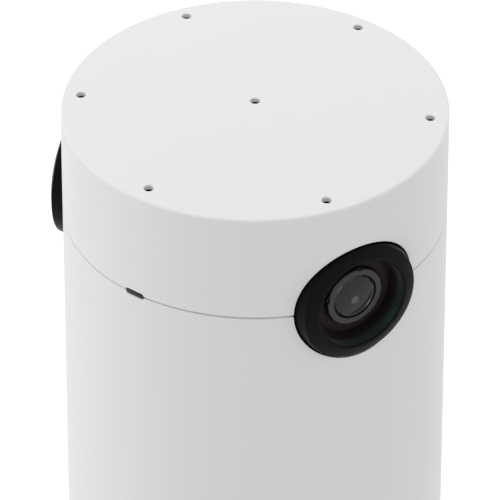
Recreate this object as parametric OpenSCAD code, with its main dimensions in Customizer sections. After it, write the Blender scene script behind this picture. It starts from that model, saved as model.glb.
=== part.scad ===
// Conference camera: a table-top tower with two wide lenses, seven microphones and a weighted twist-off foot.
// Millimetres. The table is z = 0, the tower's axis is Z, the indicator faces -Y and the cables leave at +Y.
// Right and left are as seen by someone who looks at the indicator, right being +X.

/* [Tower] */
// Outer diameter of the tower
body_d = 83; // [82:0.5:85]
// Height from the table to the middle of the top
body_h = 330; // [320:5:350]
// Wall of the sleeve and of the head shell
wall_t = 2.2; // [2:0.1:2.3]
// Rise of the top's middle above its edge
crown_h = 1.7; // [1.2:0.1:2.2]
// Thickness of the top at its edge
top_t = 2; // [1.8:0.1:2.2]
// Rounding of the edge round the top
edge_r = 0.6; // [0.4:0.1:0.9]
// Drop from the top's edge to the seam between head and sleeve
seam_drop = 25.3; // [25:0.1:26]
// Open width of that seam
seam_gap = 0.25; // [0.15:0.05:0.4]

/* [Foot] */
// How far the foot is set back from the tower's side
foot_inset = 2; // [1.5:0.1:2.5]
// Height of the foot's wall
foot_h = 8.4; // [8.4:0.1:9.5]
// Lift of the foot's underside above the table
foot_lift = 0.8; // [0.6:0.1:1.2]
// Thickness of the foot's floor
foot_floor_t = 3; // [2.8:0.1:3.4]
// Width of the notch that the cables leave through
notch_w = 16; // [12:1:16]
// Turn that frees the foot
foot_turn = 30; // [28:1:32]
// How far the rubber ring is set back from the foot's side
pad_inset = 2; // [1.5:0.1:2.5]
// Width of the rubber ring
pad_w = 7; // [6:0.5:8]

/* [Fixings] */
// How far the circle of table mount screws lies inside the foot's collar
mount_inset = 6; // [5.5:0.1:6.5]
// Bore radius of the table mount inserts
mount_bore_r = 1.65; // [1.6:0.05:1.75]
// Bore radius of the tripod insert
tripod_bore_r = 2.55; // [2.5:0.05:2.6]
// Length of the tripod insert
tripod_l = 9.5; // [8:0.5:10]
// Width of the security slot
lock_w = 7; // [6.8:0.1:7.2]
// Height of the security slot
lock_h = 3; // [2.8:0.1:3.2]

/* [Lenses] */
// Turn of each lens from the indicator
lens_turn = 70; // [68:0.5:72]
// Radius of the bezel at its front edge
bezel_r = 13.8; // [13.6:0.1:13.9]
// How far the bezel's front edge stands out of the tower's side
bezel_stand = 0.4; // [0.1:0.1:0.7]
// Radius of the bezel's open mouth
mouth_r = 10.6; // [10.4:0.1:11]
// How far the mouth stands in front of that edge
mouth_rise = 0.9; // [0.6:0.1:1.1]
// Radius of the lens head
lens_head_r = 6.7; // [6.5:0.1:6.9]
// How far the lens head lies behind the bezel's front edge
lens_drop = 2.3; // [2:0.1:2.5]
// Radius of the lens thread
lens_thread_r = 6; // [5.8:0.1:6]

/* [Microphones] */
// Distance of the microphone holes from the tower's side
mic_inset = 4; // [3.9:0.1:4.5]
// Turn of the ring of microphone holes from the indicator
mic_turn = 1.8; // [0:0.1:3]
// Radius of a microphone hole
mic_hole_r = 0.95; // [0.8:0.05:1]

/* [Indicator] */
// Length of the indicator window
pill_w = 4.6; // [4:0.2:5]
// Height of the indicator window
pill_h = 1.2; // [1:0.1:1.4]

/* [Controls] */
// Radius of the reset button
button_r = 1.8; // [1.6:0.1:2]
// Travel of the reset button
button_travel = 0.5; // [0.3:0.1:0.6]

/* [Hidden] */

$fn = 96;
over = 1;
fit_gap = 0.2;
slip_gap = 0.3;
screw_gap = 0.05;
right = 1;
left = -1;

// Colours
shell_white = "#e9e9e7";
trim_black = "#141414";
dark_grey = "#3a3a3a";
board_green = "#1f4d33";
steel_grey = "#a7a9ab";
brass_tone = "#b8923f";
rubber_black = "#1b1b1b";

// Tower
body_r = body_d / 2;
inner_r = body_r - wall_t;
top_edge_z = body_h - crown_h;
top_inner_z = top_edge_z - top_t;
mic_circle_r = body_r - mic_inset;
seam_z = top_edge_z - seam_drop;
shell_z0 = seam_z + seam_gap / 2;
sleeve_z1 = seam_z - seam_gap / 2;
crown_r = body_r - edge_r;
crown_steps = 12;
edge_steps = 4;
lip_t = 1.6;
lip_h = 4;
lip_outer_r = inner_r - fit_gap;
lip_inner_r = lip_outer_r - lip_t;

// Foot and the frame that it twists into
foot_r = body_r - foot_inset;
foot_wall_t = 2.5;
foot_z1 = foot_lift + foot_h;
foot_floor_z = foot_lift + foot_floor_t;
pad_r = foot_r - pad_inset;
pad_t = 2 * foot_lift;
pad_side_gap = 0.2;
insert_wall = 1.45;
tripod_insert_r = tripod_bore_r + insert_wall;
tripod_boss_wall = 4;
tripod_boss_r = tripod_insert_r + tripod_boss_wall;
tripod_boss_roof = 2.7;
tripod_boss_h = tripod_l + tripod_boss_roof;
mount_insert_wall = 1.15;
mount_insert_r = mount_bore_r + mount_insert_wall;
mount_insert_l = 6;
mount_boss_wall = 1.8;
mount_boss_r = mount_insert_r + mount_boss_wall;
mount_boss_roof = 1.5;
mount_count = 3;
frame_drop_gap = 1.4;
seat_t = 1.4;
seat_inset = 0.4;
frame_z = foot_z1 + frame_drop_gap;
sleeve_z0 = frame_z + seat_t;
skirt_wall = 3;
skirt_r = inner_r - fit_gap;
skirt_inner_r = skirt_r - skirt_wall;
collar_wall = 2.5;
lug_side_gap = 0.5;
lug_reach = 3.6;
collar_r = skirt_inner_r - lug_side_gap - lug_reach;
lug_r = collar_r + lug_reach;
mount_circle_r = collar_r - mount_inset;
catch_gap = 0.4;
catch_r = collar_r + catch_gap;
catch_t = 2;
lug_t = 2;
lug_z = frame_z + catch_t + catch_gap;
collar_z1 = lug_z + lug_t;
lug_count = 3;
lug_angle = 20;
lug_passage = 26;
stop_angle = 3;
stop_play = 1;
flange_clearance = 2;
flange_t = 3;
flange_z = collar_z1 + flange_clearance;
flange_z1 = flange_z + flange_t;
bay_wall = 2;
bay_inset = 9.1;
bay_r = skirt_inner_r - bay_inset;
bay_rise = 24;
deck_t = 3;
deck_z = flange_z1 + bay_rise;
deck_z1 = deck_z + deck_t;

// Ballast
ballast_boss_gap = 3;
ballast_inner_r = tripod_boss_r + ballast_boss_gap;
ballast_gap = 0.6;
ballast_outer_r = collar_r - collar_wall - ballast_gap;
ballast_t = 5.2;
ballast_slot_gap = 2;
ballast_slot_w = notch_w + ballast_slot_gap;
ballast_z1 = foot_floor_z + ballast_t;
ballast_screw_inset = 6;
ballast_screw_r = mount_circle_r - ballast_screw_inset;
ballast_screw_turn = 60;

// Screws: head radius, head height, shank radius, shank length
m3 = [2.75, 1.6, 1.45, 7.2];
m25 = [2.25, 1.5, 1.2, 5];
m2 = [1.9, 1.3, 0.95, 4];
hex_share = 0.5;
hex_depth_share = 0.6;

// Boards
board_t = 1.6;
small_board_t = 1.2;
standoff_r = 3;
socket_l = 14;
port_board_z = deck_z + socket_l;
port_screw_inset = 4;
port_board_d = 34;
port_screw_y = port_board_d / 2 - port_screw_inset;
connector = [8, 4, 4];

// Chassis
rail_wall = 2.7;
rail_r = inner_r - slip_gap;
rail_angle = 40;
plate_t = 4;
plate_gap = 8.4;
plate_z = port_board_z + board_t + plate_gap;
head_frame_drop = 25;
head_frame_z = seam_z - head_frame_drop;
plate_top_gap = 8;
plate_z1 = head_frame_z - plate_top_gap;
tab_t = 3;
tab_w = 16;
tab_reach = 9;
tab_x = rail_r - tab_reach;
tab_screw_inset = 6;
tab_screw_x = rail_r - tab_screw_inset;
top_tab_reach = 14.5;
top_tab_x = rail_r - top_tab_reach;
top_screw_inset = 11;
top_screw_x = rail_r - top_screw_inset;
port_board_gap = 5;
port_board_w = 2 * (tab_x - port_board_gap);
port_screw_x = port_board_w / 2 - port_screw_inset;
tab_screw_y = 5;
fin_t = 1.6;
fin_pitch = 7;
fin_side_count = 4;
fin_inset = 2.5;
fin_r = rail_r - fin_inset;
fin_low_gap = 52;
fin_z = plate_z + fin_low_gap;
fin_top_gap = 8;
fin_z1 = plate_z1 - fin_top_gap;

// Main board on the front of the plate, power board on the back of it
pad_space = 4;
board_inset = 6;
main_board_gap = 8;
main_board_w = 2 * (rail_r - main_board_gap);
main_board_y = -plate_t / 2 - pad_space;
main_board_z = plate_z + board_inset;
main_board_z1 = plate_z1 - board_inset;
main_screw_side = 4;
main_screw_x = main_board_w / 2 - main_screw_side;
main_screw_inset = 6;
chip_w = 20;
chip_t = 2;
thermal_w = 24;
chip_drop = 42;
chip_z = main_board_z1 - chip_drop;
can_w = 40;
can_h = 46;
can_t = 4;
can_wall = 0.4;
memory_size = [10, 1.2, 12];
memory_x = 10;
memory_z = 10;
power_gap = 6;
power_board_y = plate_t / 2 + power_gap;
power_board_side = 4;
power_board_w = main_board_w - 2 * power_board_side;
power_board_rise = 4;
power_board_z = plate_z + power_board_rise;
power_board_h = 40;
power_screw_inset = 4;
power_screw_x = power_board_w / 2 - power_screw_inset;
transformer_size = [18, 14, 16];
transformer_x = -10;
transformer_rise = 20;
transformer_z = power_board_z + transformer_rise;
capacitor_r = 4;
capacitor_l = 14;
capacitor_x = 6;
capacitor_rise = 16;
capacitor_pitch = 10;
capacitor_places = [[capacitor_x, capacitor_rise], [capacitor_x + capacitor_pitch, capacitor_rise],
  [capacitor_x + capacitor_pitch / 2, capacitor_rise + capacitor_pitch]];

// Sockets and button under the deck
jack_size = [16, 13.4, 14];
jack_x = -6;
jack_y = 4;
jack_mouth = [11.8, 8, 12];
usb_size = [9, 3.3, 14];
usb_x = 12;
usb_y = 4;
usb_wall = 0.35;
usb_depth = 9;
button_x = 6;
button_y = -13;
button_proud = 0.8;
collar_rise = 1.2;
collar_t = 1.2;
button_l = 9.2;
button_z = deck_z - button_proud;
switch_w = 6;
switch_t = 4.2;
plunger_r = 1.2;
plunger_z = button_z + button_l + button_travel + slip_gap;
switch_z = port_board_z - switch_t;

// Security slot plate
lock_rise = 7;
lock_z = flange_z1 + lock_rise;
lock_plate_w = 16;
lock_plate_h = 14;
lock_plate_t = 2;
lock_plate_gap = 1.1;
lock_plate_y = inner_r - lock_plate_gap;
lock_foot_gap = 0.8;
lock_foot_y = bay_r + bay_wall + lock_foot_gap;
lock_screw_x = 5;

// Head frame and head screws
frame_t = 3;
head_frame_z1 = head_frame_z + frame_t;
head_post_r = 3.5;
head_boss_r = 3;
head_post_drop = 3;
head_post_z1 = seam_z - head_post_drop;
head_post_roof = 6;
head_circle_inset = 7.3;
head_circle_r = inner_r - head_circle_inset;
head_turns = [20, -20, 130, -130];
bezel_front = body_r + bezel_stand;
bracket_drop = 7.7;
bracket_front = bezel_front - bracket_drop;
bracket_t = 2;
bracket_w = 2 * sqrt(pow(lip_inner_r - fit_gap, 2) - pow(bracket_front, 2));
bracket_rise = 17;
lens_window_r = 11;

// Lens stack, distances from the tower's axis along the lens's own axis
bezel_flange_r = 16.4;
bezel_flange_t = 1.3;
bezel_side_flare = 0.33;
bezel_side_r = bezel_r + bezel_side_flare;
bezel_side_drop = 3.7;
bezel_side_front = bezel_front - bezel_side_drop;
mouth_front = bezel_front + mouth_rise;
lens_front = bezel_front - lens_drop;
bezel_edge_r = 0.35;
bezel_rear = bracket_front;
bezel_hole_r = bezel_side_r + fit_gap;
baffle_r = 11.8;
baffle_drop = 1;
baffle_front = lens_front - baffle_drop;
baffle_t = 1.5;
baffle_hole_r = lens_head_r + fit_gap;
throat_r = 9.2;
seal_wall = 2.2;
lens_head_l = 6;
lens_head_z = lens_front - lens_head_l;
lens_l = 15.1;
lens_rear = lens_front - lens_l;
lens_bore_r = 4.4;
glass_r = 5.3;
glass_seat = 2.2;
glass_rim_drop = 0.05;
glass_dome = 1.05;
glass_steps = 8;
glass_gap = 0.05;
rear_glass_at = 2.5;
rear_glass_z = lens_rear + rear_glass_at;
rear_glass_t = 3;
rear_glass_rim = 0.8;
camera_board_w = 26;
camera_board_gap = 3.9;
camera_board_front = lens_rear - camera_board_gap;
camera_screw_at = 11;
camera_standoff_r = 2;
holder_base_w = 17;
holder_base_t = 3.6;
holder_tube_r = 7.4;
holder_l = 10.4;
holder_front = camera_board_front + holder_l;
holder_cavity_w = 12;
sensor_w = 9;
sensor_t = 1.2;
thread_gap = 0.05;

// Microphones
mic_count = 7;
mic_size = [3.5, 2.65, 1];
mic_gasket_t = 0.5;
mic_mesh_t = 0.3;
mic_pad_r = 1.5;
mic_pad_bore_r = 0.8;
mic_port_r = 0.5;
mic_board_r = inner_r - slip_gap;
mic_board_z = top_inner_z - mic_mesh_t - mic_gasket_t - small_board_t;
mic_screw_inset = 13.5;
mic_screw_circle_r = mic_circle_r - mic_screw_inset;
mic_screw_count = 3;
mic_screw_depth = 2.3;

// Indicator
pill_flange_gap = 0.5;
pill_flange_front = inner_r - pill_flange_gap;
pill_depth = 7.2;
pill_rear = body_r - pill_depth;
pill_flange_t = 1;
pill_flange_side = 1.4;
led_gap = 0.3;
led_front = pill_rear - led_gap;
led_size = [3, 1.4, 1];
indicator_board_size = [10, 8, 1];
indicator_post_w = 10;
indicator_post_t = 2;

// Leads inside
lead_r = 1.1;
lead_sides = 12;
camera_lead_d = camera_board_front - small_board_t - connector[2] / 2;
camera_connector_drop = 10;
lead_bend_drop = 2;
lead_bend_z = head_frame_z - lead_bend_drop;
board_lead_y = main_board_y - board_t - connector[2] / 2;
board_lead_drop = 2;
board_lead_z = main_board_z1 - board_lead_drop;
mic_lead_y = 20;
supply_gap = 9;
supply_x = power_screw_x - supply_gap;
supply_y = power_board_y + board_t + connector[2] / 2;
data_x = -10;

// Ring with its lower face on z = 0
module ring(outer_r, bore_r, height) {
  difference() {
    cylinder(r = outer_r, h = height);
    translate([0, 0, -over]) cylinder(r = bore_r, h = height + 2 * over);
  }
}

// Box centred in x and y, with its lower face on z = 0
module block(size) {
  translate([-size[0] / 2, -size[1] / 2, 0]) cube(size);
}

// Bar of box section bent round the axis, from angle 0
module arc_bar(angle, r0, r1, z0, z1) {
  rotate_extrude(angle = angle) polygon([[r0, z0], [r1, z0], [r1, z1], [r0, z1]]);
}

// Screw with the underside of its head on z = 0 and its shank below
module screw(kind) {
  difference() {
    cylinder(r = kind[0], h = kind[1], $fn = 48);
    translate([0, 0, kind[1] * (1 - hex_depth_share)])
      cylinder(r = kind[0] * hex_share, h = kind[1], $fn = 6);
  }
  translate([0, 0, -kind[3]]) cylinder(r = kind[2],
    h = kind[3] + kind[1] * (1 - hex_depth_share) / 2, $fn = 48);
}

// Round lead through a row of points
module lead(points) {
  last = len(points) - 2;
  for (i = [0 : last]) {
    span = points[i + 1] - points[i];
    before = i > 0 ? lead_r / 2 : 0;
    after = i < last ? lead_r / 2 : 0;
    translate(points[i])
      rotate([0, acos(span[2] / norm(span)), atan2(span[1], span[0])])
        translate([0, 0, -before]) cylinder(r = lead_r, h = norm(span) + before + after, $fn = lead_sides);
  }
}

// Frame with its z axis outward along the given turn from the indicator, y up, x round the tower
module facing(turn, z) {
  translate([0, 0, z]) rotate([90, 0, turn]) children();
}

module at_lens(side) {
  facing(side * lens_turn, seam_z) children();
}

// Slot or window with round ends, drawn along z
module pill(width, height, depth) {
  block([width - height, height, depth]);
  for (s = [left, right])
    translate([s * (width - height) / 2, 0, 0]) cylinder(r = height / 2, h = depth, $fn = 48);
}

// Everything that the two lenses and the indicator cut out of a shell
module face_cuts() {
  for (side = [left, right])
    at_lens(side) {
      translate([0, 0, bezel_rear - over]) cylinder(r = bezel_hole_r, h = body_r - bezel_rear + 3 * over);
      translate([0, 0, bezel_rear - 2 * over])
        cylinder(r = bezel_flange_r + fit_gap, h = bezel_flange_t + 2 * over + fit_gap / 2);
    }
  facing(0, seam_z) {
    translate([0, 0, inner_r - over]) pill(pill_w + fit_gap, pill_h + fit_gap, wall_t + 2 * over);
    translate([0, 0, lip_inner_r - over])
      pill(pill_w + 2 * pill_flange_side + fit_gap, pill_h + 2 * pill_flange_side + fit_gap,
        inner_r - lip_inner_r + over - fit_gap);
  }
}

function crown_z(r) = body_h - crown_h * pow(r / crown_r, 2);

// Places of the microphones: one in the middle and the others round it
module at_microphones() {
  children();
  for (i = [1 : mic_count - 1])
    rotate([0, 0, mic_turn - 90 + 360 * i / (mic_count - 1)]) translate([mic_circle_r, 0, 0]) children();
}

module at_mic_screws() {
  for (i = [0 : mic_screw_count - 1])
    rotate([0, 0, -90 + 360 * i / mic_screw_count]) translate([mic_screw_circle_r, 0, 0]) children();
}

module at_head_screws() {
  for (turn = head_turns) rotate([0, 0, turn]) translate([0, -head_circle_r, 0]) children();
}

module head_shell() color(shell_white) {
  crown = [for (i = [0 : crown_steps]) let (r = crown_r * (1 - i / crown_steps)) [r, crown_z(r)]];
  edge = [for (i = [0 : edge_steps - 1]) let (a = 90 * i / edge_steps)
    [crown_r + edge_r * cos(a), top_edge_z - edge_r + edge_r * sin(a)]];
  difference() {
    union() {
      rotate_extrude() polygon(concat([
        [0, top_inner_z], [inner_r, top_inner_z], [inner_r, shell_z0 + lip_h + lip_t],
        [lip_inner_r, shell_z0 + lip_h], [lip_inner_r, seam_z - lip_h], [lip_outer_r, seam_z - lip_h],
        [lip_outer_r, shell_z0], [body_r, shell_z0]], edge, crown));
      at_head_screws() translate([0, 0, head_post_z1])
        cylinder(r = head_boss_r, h = top_inner_z - head_post_z1 + top_t / 2, $fn = 48);
    }
    face_cuts();
    at_microphones() translate([0, 0, top_inner_z - over])
      cylinder(r = mic_hole_r, h = crown_h + top_t + 2 * over, $fn = 48);
    at_mic_screws() translate([0, 0, top_inner_z - over])
      cylinder(r = m2[2] + screw_gap, h = mic_screw_depth + over, $fn = 48);
    at_head_screws() translate([0, 0, head_post_z1 - over])
      cylinder(r = m25[2] + screw_gap, h = 2 * m25[3], $fn = 48);
  }
}

module body_sleeve() color(shell_white)
  difference() {
    rotate_extrude() polygon([
      [inner_r, sleeve_z0], [body_r - edge_r, sleeve_z0], [body_r, sleeve_z0 + edge_r],
      [body_r, sleeve_z1], [inner_r, sleeve_z1]]);
    face_cuts();
    facing(180, lock_z) translate([0, 0, inner_r - 2 * over]) block([lock_w, lock_h, wall_t + 4 * over]);
  }

module base_frame() color(dark_grey)
  difference() {
    union() {
      rotate_extrude() polygon([
        [skirt_inner_r, frame_z], [body_r - seat_inset, frame_z], [body_r - seat_inset, sleeve_z0],
        [skirt_r, sleeve_z0], [skirt_r, flange_z1], [bay_r + bay_wall, flange_z1],
        [bay_r + bay_wall, deck_z1], [0, deck_z1], [0, deck_z], [bay_r, deck_z], [bay_r, flange_z],
        [skirt_inner_r, flange_z]]);
      port_screw_places() translate([0, 0, deck_z + deck_t / 2])
        cylinder(r = standoff_r, h = port_board_z - deck_z - deck_t / 2, $fn = 48);
      for (i = [0 : lug_count - 1]) rotate([0, 0, -90 + 360 * i / lug_count]) {
        rotate([0, 0, foot_turn + lug_passage / 2]) arc_bar(360 / lug_count - lug_passage,
          catch_r, skirt_inner_r + skirt_wall / 2, frame_z + fit_gap, frame_z + catch_t);
        for (a = [-lug_angle / 2 - stop_angle - stop_play, foot_turn + lug_angle / 2 + stop_play])
          rotate([0, 0, a]) arc_bar(stop_angle,
            catch_r + fit_gap, skirt_inner_r + skirt_wall / 3, frame_z + catch_t / 2, collar_z1 + catch_gap);
      }
    }
    translate([jack_x, jack_y, deck_z - over])
      block([jack_size[0] + 2 * fit_gap, jack_size[1] + 2 * fit_gap, deck_t + 2 * over]);
    translate([usb_x, usb_y, deck_z - over])
      block([usb_size[0] + 2 * fit_gap, usb_size[1] + 2 * fit_gap, deck_t + 2 * over]);
    translate([button_x, button_y, deck_z - over])
      cylinder(r = button_r + fit_gap, h = deck_t + 2 * over, $fn = 48);
    port_screw_places() translate([0, 0, port_board_z - m25[3] - over])
      cylinder(r = m25[2] + screw_gap, h = m25[3] + 2 * over, $fn = 48);
    tab_screw_places() translate([0, 0, flange_z - over])
      cylinder(r = m25[2] + screw_gap, h = flange_t + 2 * over, $fn = 48);
    lock_screw_places() translate([0, 0, flange_z - over])
      cylinder(r = m25[2] + screw_gap, h = flange_t + 2 * over, $fn = 48);
  }

module mount_places() {
  for (i = [0 : mount_count - 1])
    rotate([0, 0, -90 + 360 * i / mount_count]) translate([mount_circle_r, 0, 0]) children();
}

module ballast_screw_places() {
  for (s = [left, right]) rotate([0, 0, s * ballast_screw_turn]) translate([0, -ballast_screw_r, 0])
    children();
}

module foot() color(dark_grey)
  difference() {
    union() {
      translate([0, 0, foot_lift]) cylinder(r = foot_r, h = foot_floor_t);
      translate([0, 0, foot_lift]) ring(foot_r, foot_r - foot_wall_t, foot_h);
      translate([0, 0, foot_lift]) cylinder(r = tripod_boss_r, h = tripod_boss_h);
      translate([0, 0, foot_lift + foot_floor_t / 2])
        ring(collar_r, collar_r - collar_wall, collar_z1 - foot_lift - foot_floor_t / 2);
      mount_places() translate([0, 0, foot_lift])
        cylinder(r = mount_boss_r, h = mount_insert_l + mount_boss_roof, $fn = 48);
      for (i = [0 : lug_count - 1])
        rotate([0, 0, -90 + 360 * i / lug_count - lug_angle / 2])
          arc_bar(lug_angle, collar_r - collar_wall / 2, lug_r, lug_z, collar_z1);
    }
    translate([0, 0, foot_lift - over])
      ring(pad_r + pad_side_gap, pad_r - pad_w - pad_side_gap, pad_t - foot_lift + over);
    translate([0, 0, foot_lift - over])
      cylinder(r = tripod_insert_r + screw_gap, h = tripod_boss_h + 2 * over, $fn = 48);
    mount_places() translate([0, 0, foot_lift - over])
      cylinder(r = mount_insert_r + screw_gap, h = mount_insert_l + over, $fn = 48);
    ballast_screw_places() translate([0, 0, ballast_z1 - m3[3] - over / 4])
      cylinder(r = m3[2] + screw_gap, h = m3[3], $fn = 48);
    translate([-notch_w / 2, tripod_boss_r + over, foot_floor_z])
      cube([notch_w, foot_r, collar_z1]);
  }

module foot_pad() color(rubber_black) ring(pad_r, pad_r - pad_w, pad_t);

module ballast_ring() color(steel_grey)
  difference() {
    translate([0, 0, foot_floor_z]) ring(ballast_outer_r, ballast_inner_r, ballast_t);
    translate([-ballast_slot_w / 2, 0, foot_floor_z - over])
      cube([ballast_slot_w, body_r, ballast_t + 2 * over]);
    mount_places() translate([0, 0, foot_floor_z - over])
      cylinder(r = mount_boss_r + slip_gap, h = ballast_t + 2 * over, $fn = 48);
    ballast_screw_places() translate([0, 0, foot_floor_z - over])
      cylinder(r = m3[2] + fit_gap, h = ballast_t + 2 * over, $fn = 48);
  }

module ballast_screws() color(steel_grey) ballast_screw_places() translate([0, 0, ballast_z1]) screw(m3);

module tripod_insert() color(brass_tone) translate([0, 0, foot_lift])
  ring(tripod_insert_r, tripod_bore_r, tripod_l);

module mount_inserts() color(brass_tone)
  mount_places() translate([0, 0, foot_lift]) ring(mount_insert_r, mount_bore_r, mount_insert_l);

module port_screw_places() {
  for (x = [-port_screw_x, port_screw_x], y = [-port_screw_y, port_screw_y]) translate([x, y, 0]) children();
}

module tab_screw_places() {
  for (x = [-tab_screw_x, tab_screw_x], y = [-tab_screw_y, tab_screw_y]) translate([x, y, 0]) children();
}

module top_screw_places() {
  for (x = [-top_screw_x, top_screw_x], y = [-tab_screw_y, tab_screw_y]) translate([x, y, 0]) children();
}

module lock_screw_places() {
  for (s = [left, right]) translate([s * lock_screw_x, tab_screw_x, 0]) children();
}

module core_chassis() color(steel_grey)
  difference() {
    union() {
      for (turn = [0, 180]) rotate([0, 0, turn]) {
        rotate([0, 0, -rail_angle / 2])
          arc_bar(rail_angle, rail_r - rail_wall, rail_r, flange_z1, head_frame_z);
        translate([tab_x, -tab_w / 2, flange_z1]) cube([rail_r - rail_wall / 2 - tab_x, tab_w, tab_t]);
        translate([top_tab_x, -tab_w / 2, head_frame_z - tab_t])
          cube([rail_r - rail_wall / 2 - top_tab_x, tab_w, tab_t]);
      }
      translate([-rail_r + rail_wall / 2, -plate_t / 2, plate_z])
        cube([2 * rail_r - rail_wall, plate_t, plate_z1 - plate_z]);
      for (i = [-fin_side_count : fin_side_count]) let (x = i * fin_pitch)
        translate([x - fin_t / 2, 0, fin_z]) cube([fin_t, sqrt(pow(fin_r, 2) - pow(x, 2)), fin_z1 - fin_z]);
      main_screw_places() cylinder(r = standoff_r, h = pad_space + plate_t / 2, $fn = 48);
      power_screw_places() cylinder(r = standoff_r, h = power_gap + plate_t / 2, $fn = 48);
    }
    tab_screw_places() translate([0, 0, flange_z1 - over])
      cylinder(r = m25[2] + fit_gap, h = tab_t + 2 * over, $fn = 48);
    top_screw_places() translate([0, 0, head_frame_z - tab_t - over])
      cylinder(r = m25[2] + screw_gap, h = tab_t + 2 * over, $fn = 48);
    main_screw_places() translate([0, 0, plate_t / 2 + pad_space - m25[3]])
      cylinder(r = m25[2] + screw_gap, h = m25[3] + over, $fn = 48);
    power_screw_places() translate([0, 0, plate_t / 2 + power_gap - m25[3]])
      cylinder(r = m25[2] + screw_gap, h = m25[3] + over, $fn = 48);
  }

// Screw places of the two boards, with z square to the plate and away from its middle
module main_screw_places() {
  for (x = [-main_screw_x, main_screw_x],
      z = [main_board_z + main_screw_inset, (main_board_z + main_board_z1) / 2,
        main_board_z1 - main_screw_inset])
    translate([x, 0, z]) rotate([90, 0, 0]) children();
}

module power_screw_places() {
  for (x = [-power_screw_x, power_screw_x],
      z = [power_board_z + power_screw_inset, power_board_z + power_board_h - power_screw_inset])
    translate([x, 0, z]) rotate([-90, 0, 0]) children();
}

module main_board() color(board_green)
  difference() {
    translate([-main_board_w / 2, main_board_y - board_t, main_board_z])
      cube([main_board_w, board_t, main_board_z1 - main_board_z]);
    main_screw_places() cylinder(r = m25[2] + fit_gap, h = body_r, $fn = 48);
  }

module processor() color(dark_grey)
  translate([-chip_w / 2, main_board_y, chip_z - chip_w / 2]) cube([chip_w, chip_t, chip_w]);

module thermal_pad() color("#8f9aa8")
  translate([-thermal_w / 2, main_board_y + chip_t, chip_z - thermal_w / 2])
    cube([thermal_w, pad_space - chip_t, thermal_w]);

module shield_can() color(steel_grey)
  translate([-can_w / 2, main_board_y - board_t - can_t, chip_z - can_h / 2])
    difference() {
      cube([can_w, can_t, can_h]);
      translate([can_wall, can_wall, can_wall]) cube([can_w - 2 * can_wall, can_t, can_h - 2 * can_wall]);
    }

module memory_chips() color(dark_grey)
  for (x = [-memory_x, memory_x], z = [-memory_z, memory_z])
    translate([x - memory_size[0] / 2, main_board_y - board_t - memory_size[1],
      chip_z + z - memory_size[2] / 2])
      cube(memory_size);

module power_board() color(board_green)
  difference() {
    translate([-power_board_w / 2, power_board_y, power_board_z])
      cube([power_board_w, board_t, power_board_h]);
    power_screw_places() cylinder(r = m25[2] + fit_gap, h = body_r, $fn = 48);
  }

module transformer() color("#2b2b2b") {
  size = transformer_size;
  translate([transformer_x - size[0] / 2, power_board_y + board_t, transformer_z - size[2] / 2]) cube(size);
}

module capacitors() color("#2a2a33")
  for (place = capacitor_places)
    translate([place[0], power_board_y + board_t, power_board_z + place[1]])
      rotate([-90, 0, 0]) cylinder(r = capacitor_r, h = capacitor_l, $fn = 48);

module port_board() color(board_green)
  difference() {
    translate([0, 0, port_board_z]) block([port_board_w, port_board_d, board_t]);
    port_screw_places() translate([0, 0, port_board_z - over])
      cylinder(r = m25[2] + fit_gap, h = board_t + 2 * over, $fn = 48);
  }

module network_jack() color(steel_grey)
  translate([jack_x, jack_y, deck_z]) difference() {
    block(jack_size);
    translate([0, 0, -over]) block([jack_mouth[0], jack_mouth[1], jack_mouth[2] + over]);
  }

module usb_socket() color(steel_grey)
  translate([usb_x, usb_y, deck_z]) difference() {
    pill(usb_size[0], usb_size[1], usb_size[2]);
    translate([0, 0, -over])
      pill(usb_size[0] - 2 * usb_wall, usb_size[1] - 2 * usb_wall, usb_depth + over);
  }

module reset_button() color("#c9c9c9") translate([button_x, button_y, button_z]) {
  cylinder(r = button_r, h = button_l, $fn = 48);
  translate([0, 0, deck_z1 - button_z + fit_gap])
    cylinder(r = button_r + collar_rise, h = collar_t, $fn = 48);
}

module reset_switch() color(dark_grey) translate([button_x, button_y, 0]) {
  translate([0, 0, switch_z]) block([switch_w, switch_w, switch_t]);
  translate([0, 0, plunger_z]) cylinder(r = plunger_r, h = switch_z - plunger_z + switch_t / 2, $fn = 48);
}

module lock_plate() color(steel_grey)
  difference() {
    union() {
      translate([-lock_plate_w / 2, lock_plate_y - lock_plate_t, flange_z1])
        cube([lock_plate_w, lock_plate_t, lock_plate_h]);
      translate([-lock_plate_w / 2, lock_foot_y, flange_z1])
        cube([lock_plate_w, lock_plate_y - lock_foot_y, lock_plate_t]);
    }
    facing(180, lock_z) translate([0, 0, lock_plate_y - lock_plate_t - over])
      block([lock_w, lock_h, lock_plate_t + 2 * over]);
    lock_screw_places() translate([0, 0, flange_z1 - over])
      cylinder(r = m25[2] + fit_gap, h = lock_plate_t + 2 * over, $fn = 48);
  }

module frame_screws() color(steel_grey) {
  tab_screw_places() translate([0, 0, flange_z1 + tab_t]) screw(m25);
  top_screw_places() translate([0, 0, head_frame_z1]) screw(m25);
  lock_screw_places() translate([0, 0, flange_z1 + lock_plate_t]) screw(m25);
}

module board_screws() color(steel_grey) {
  main_screw_places() translate([0, 0, plate_t / 2 + pad_space + board_t]) screw(m25);
  power_screw_places() translate([0, 0, plate_t / 2 + power_gap + board_t]) screw(m25);
  port_screw_places() translate([0, 0, port_board_z + board_t]) screw(m25);
}

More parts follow.
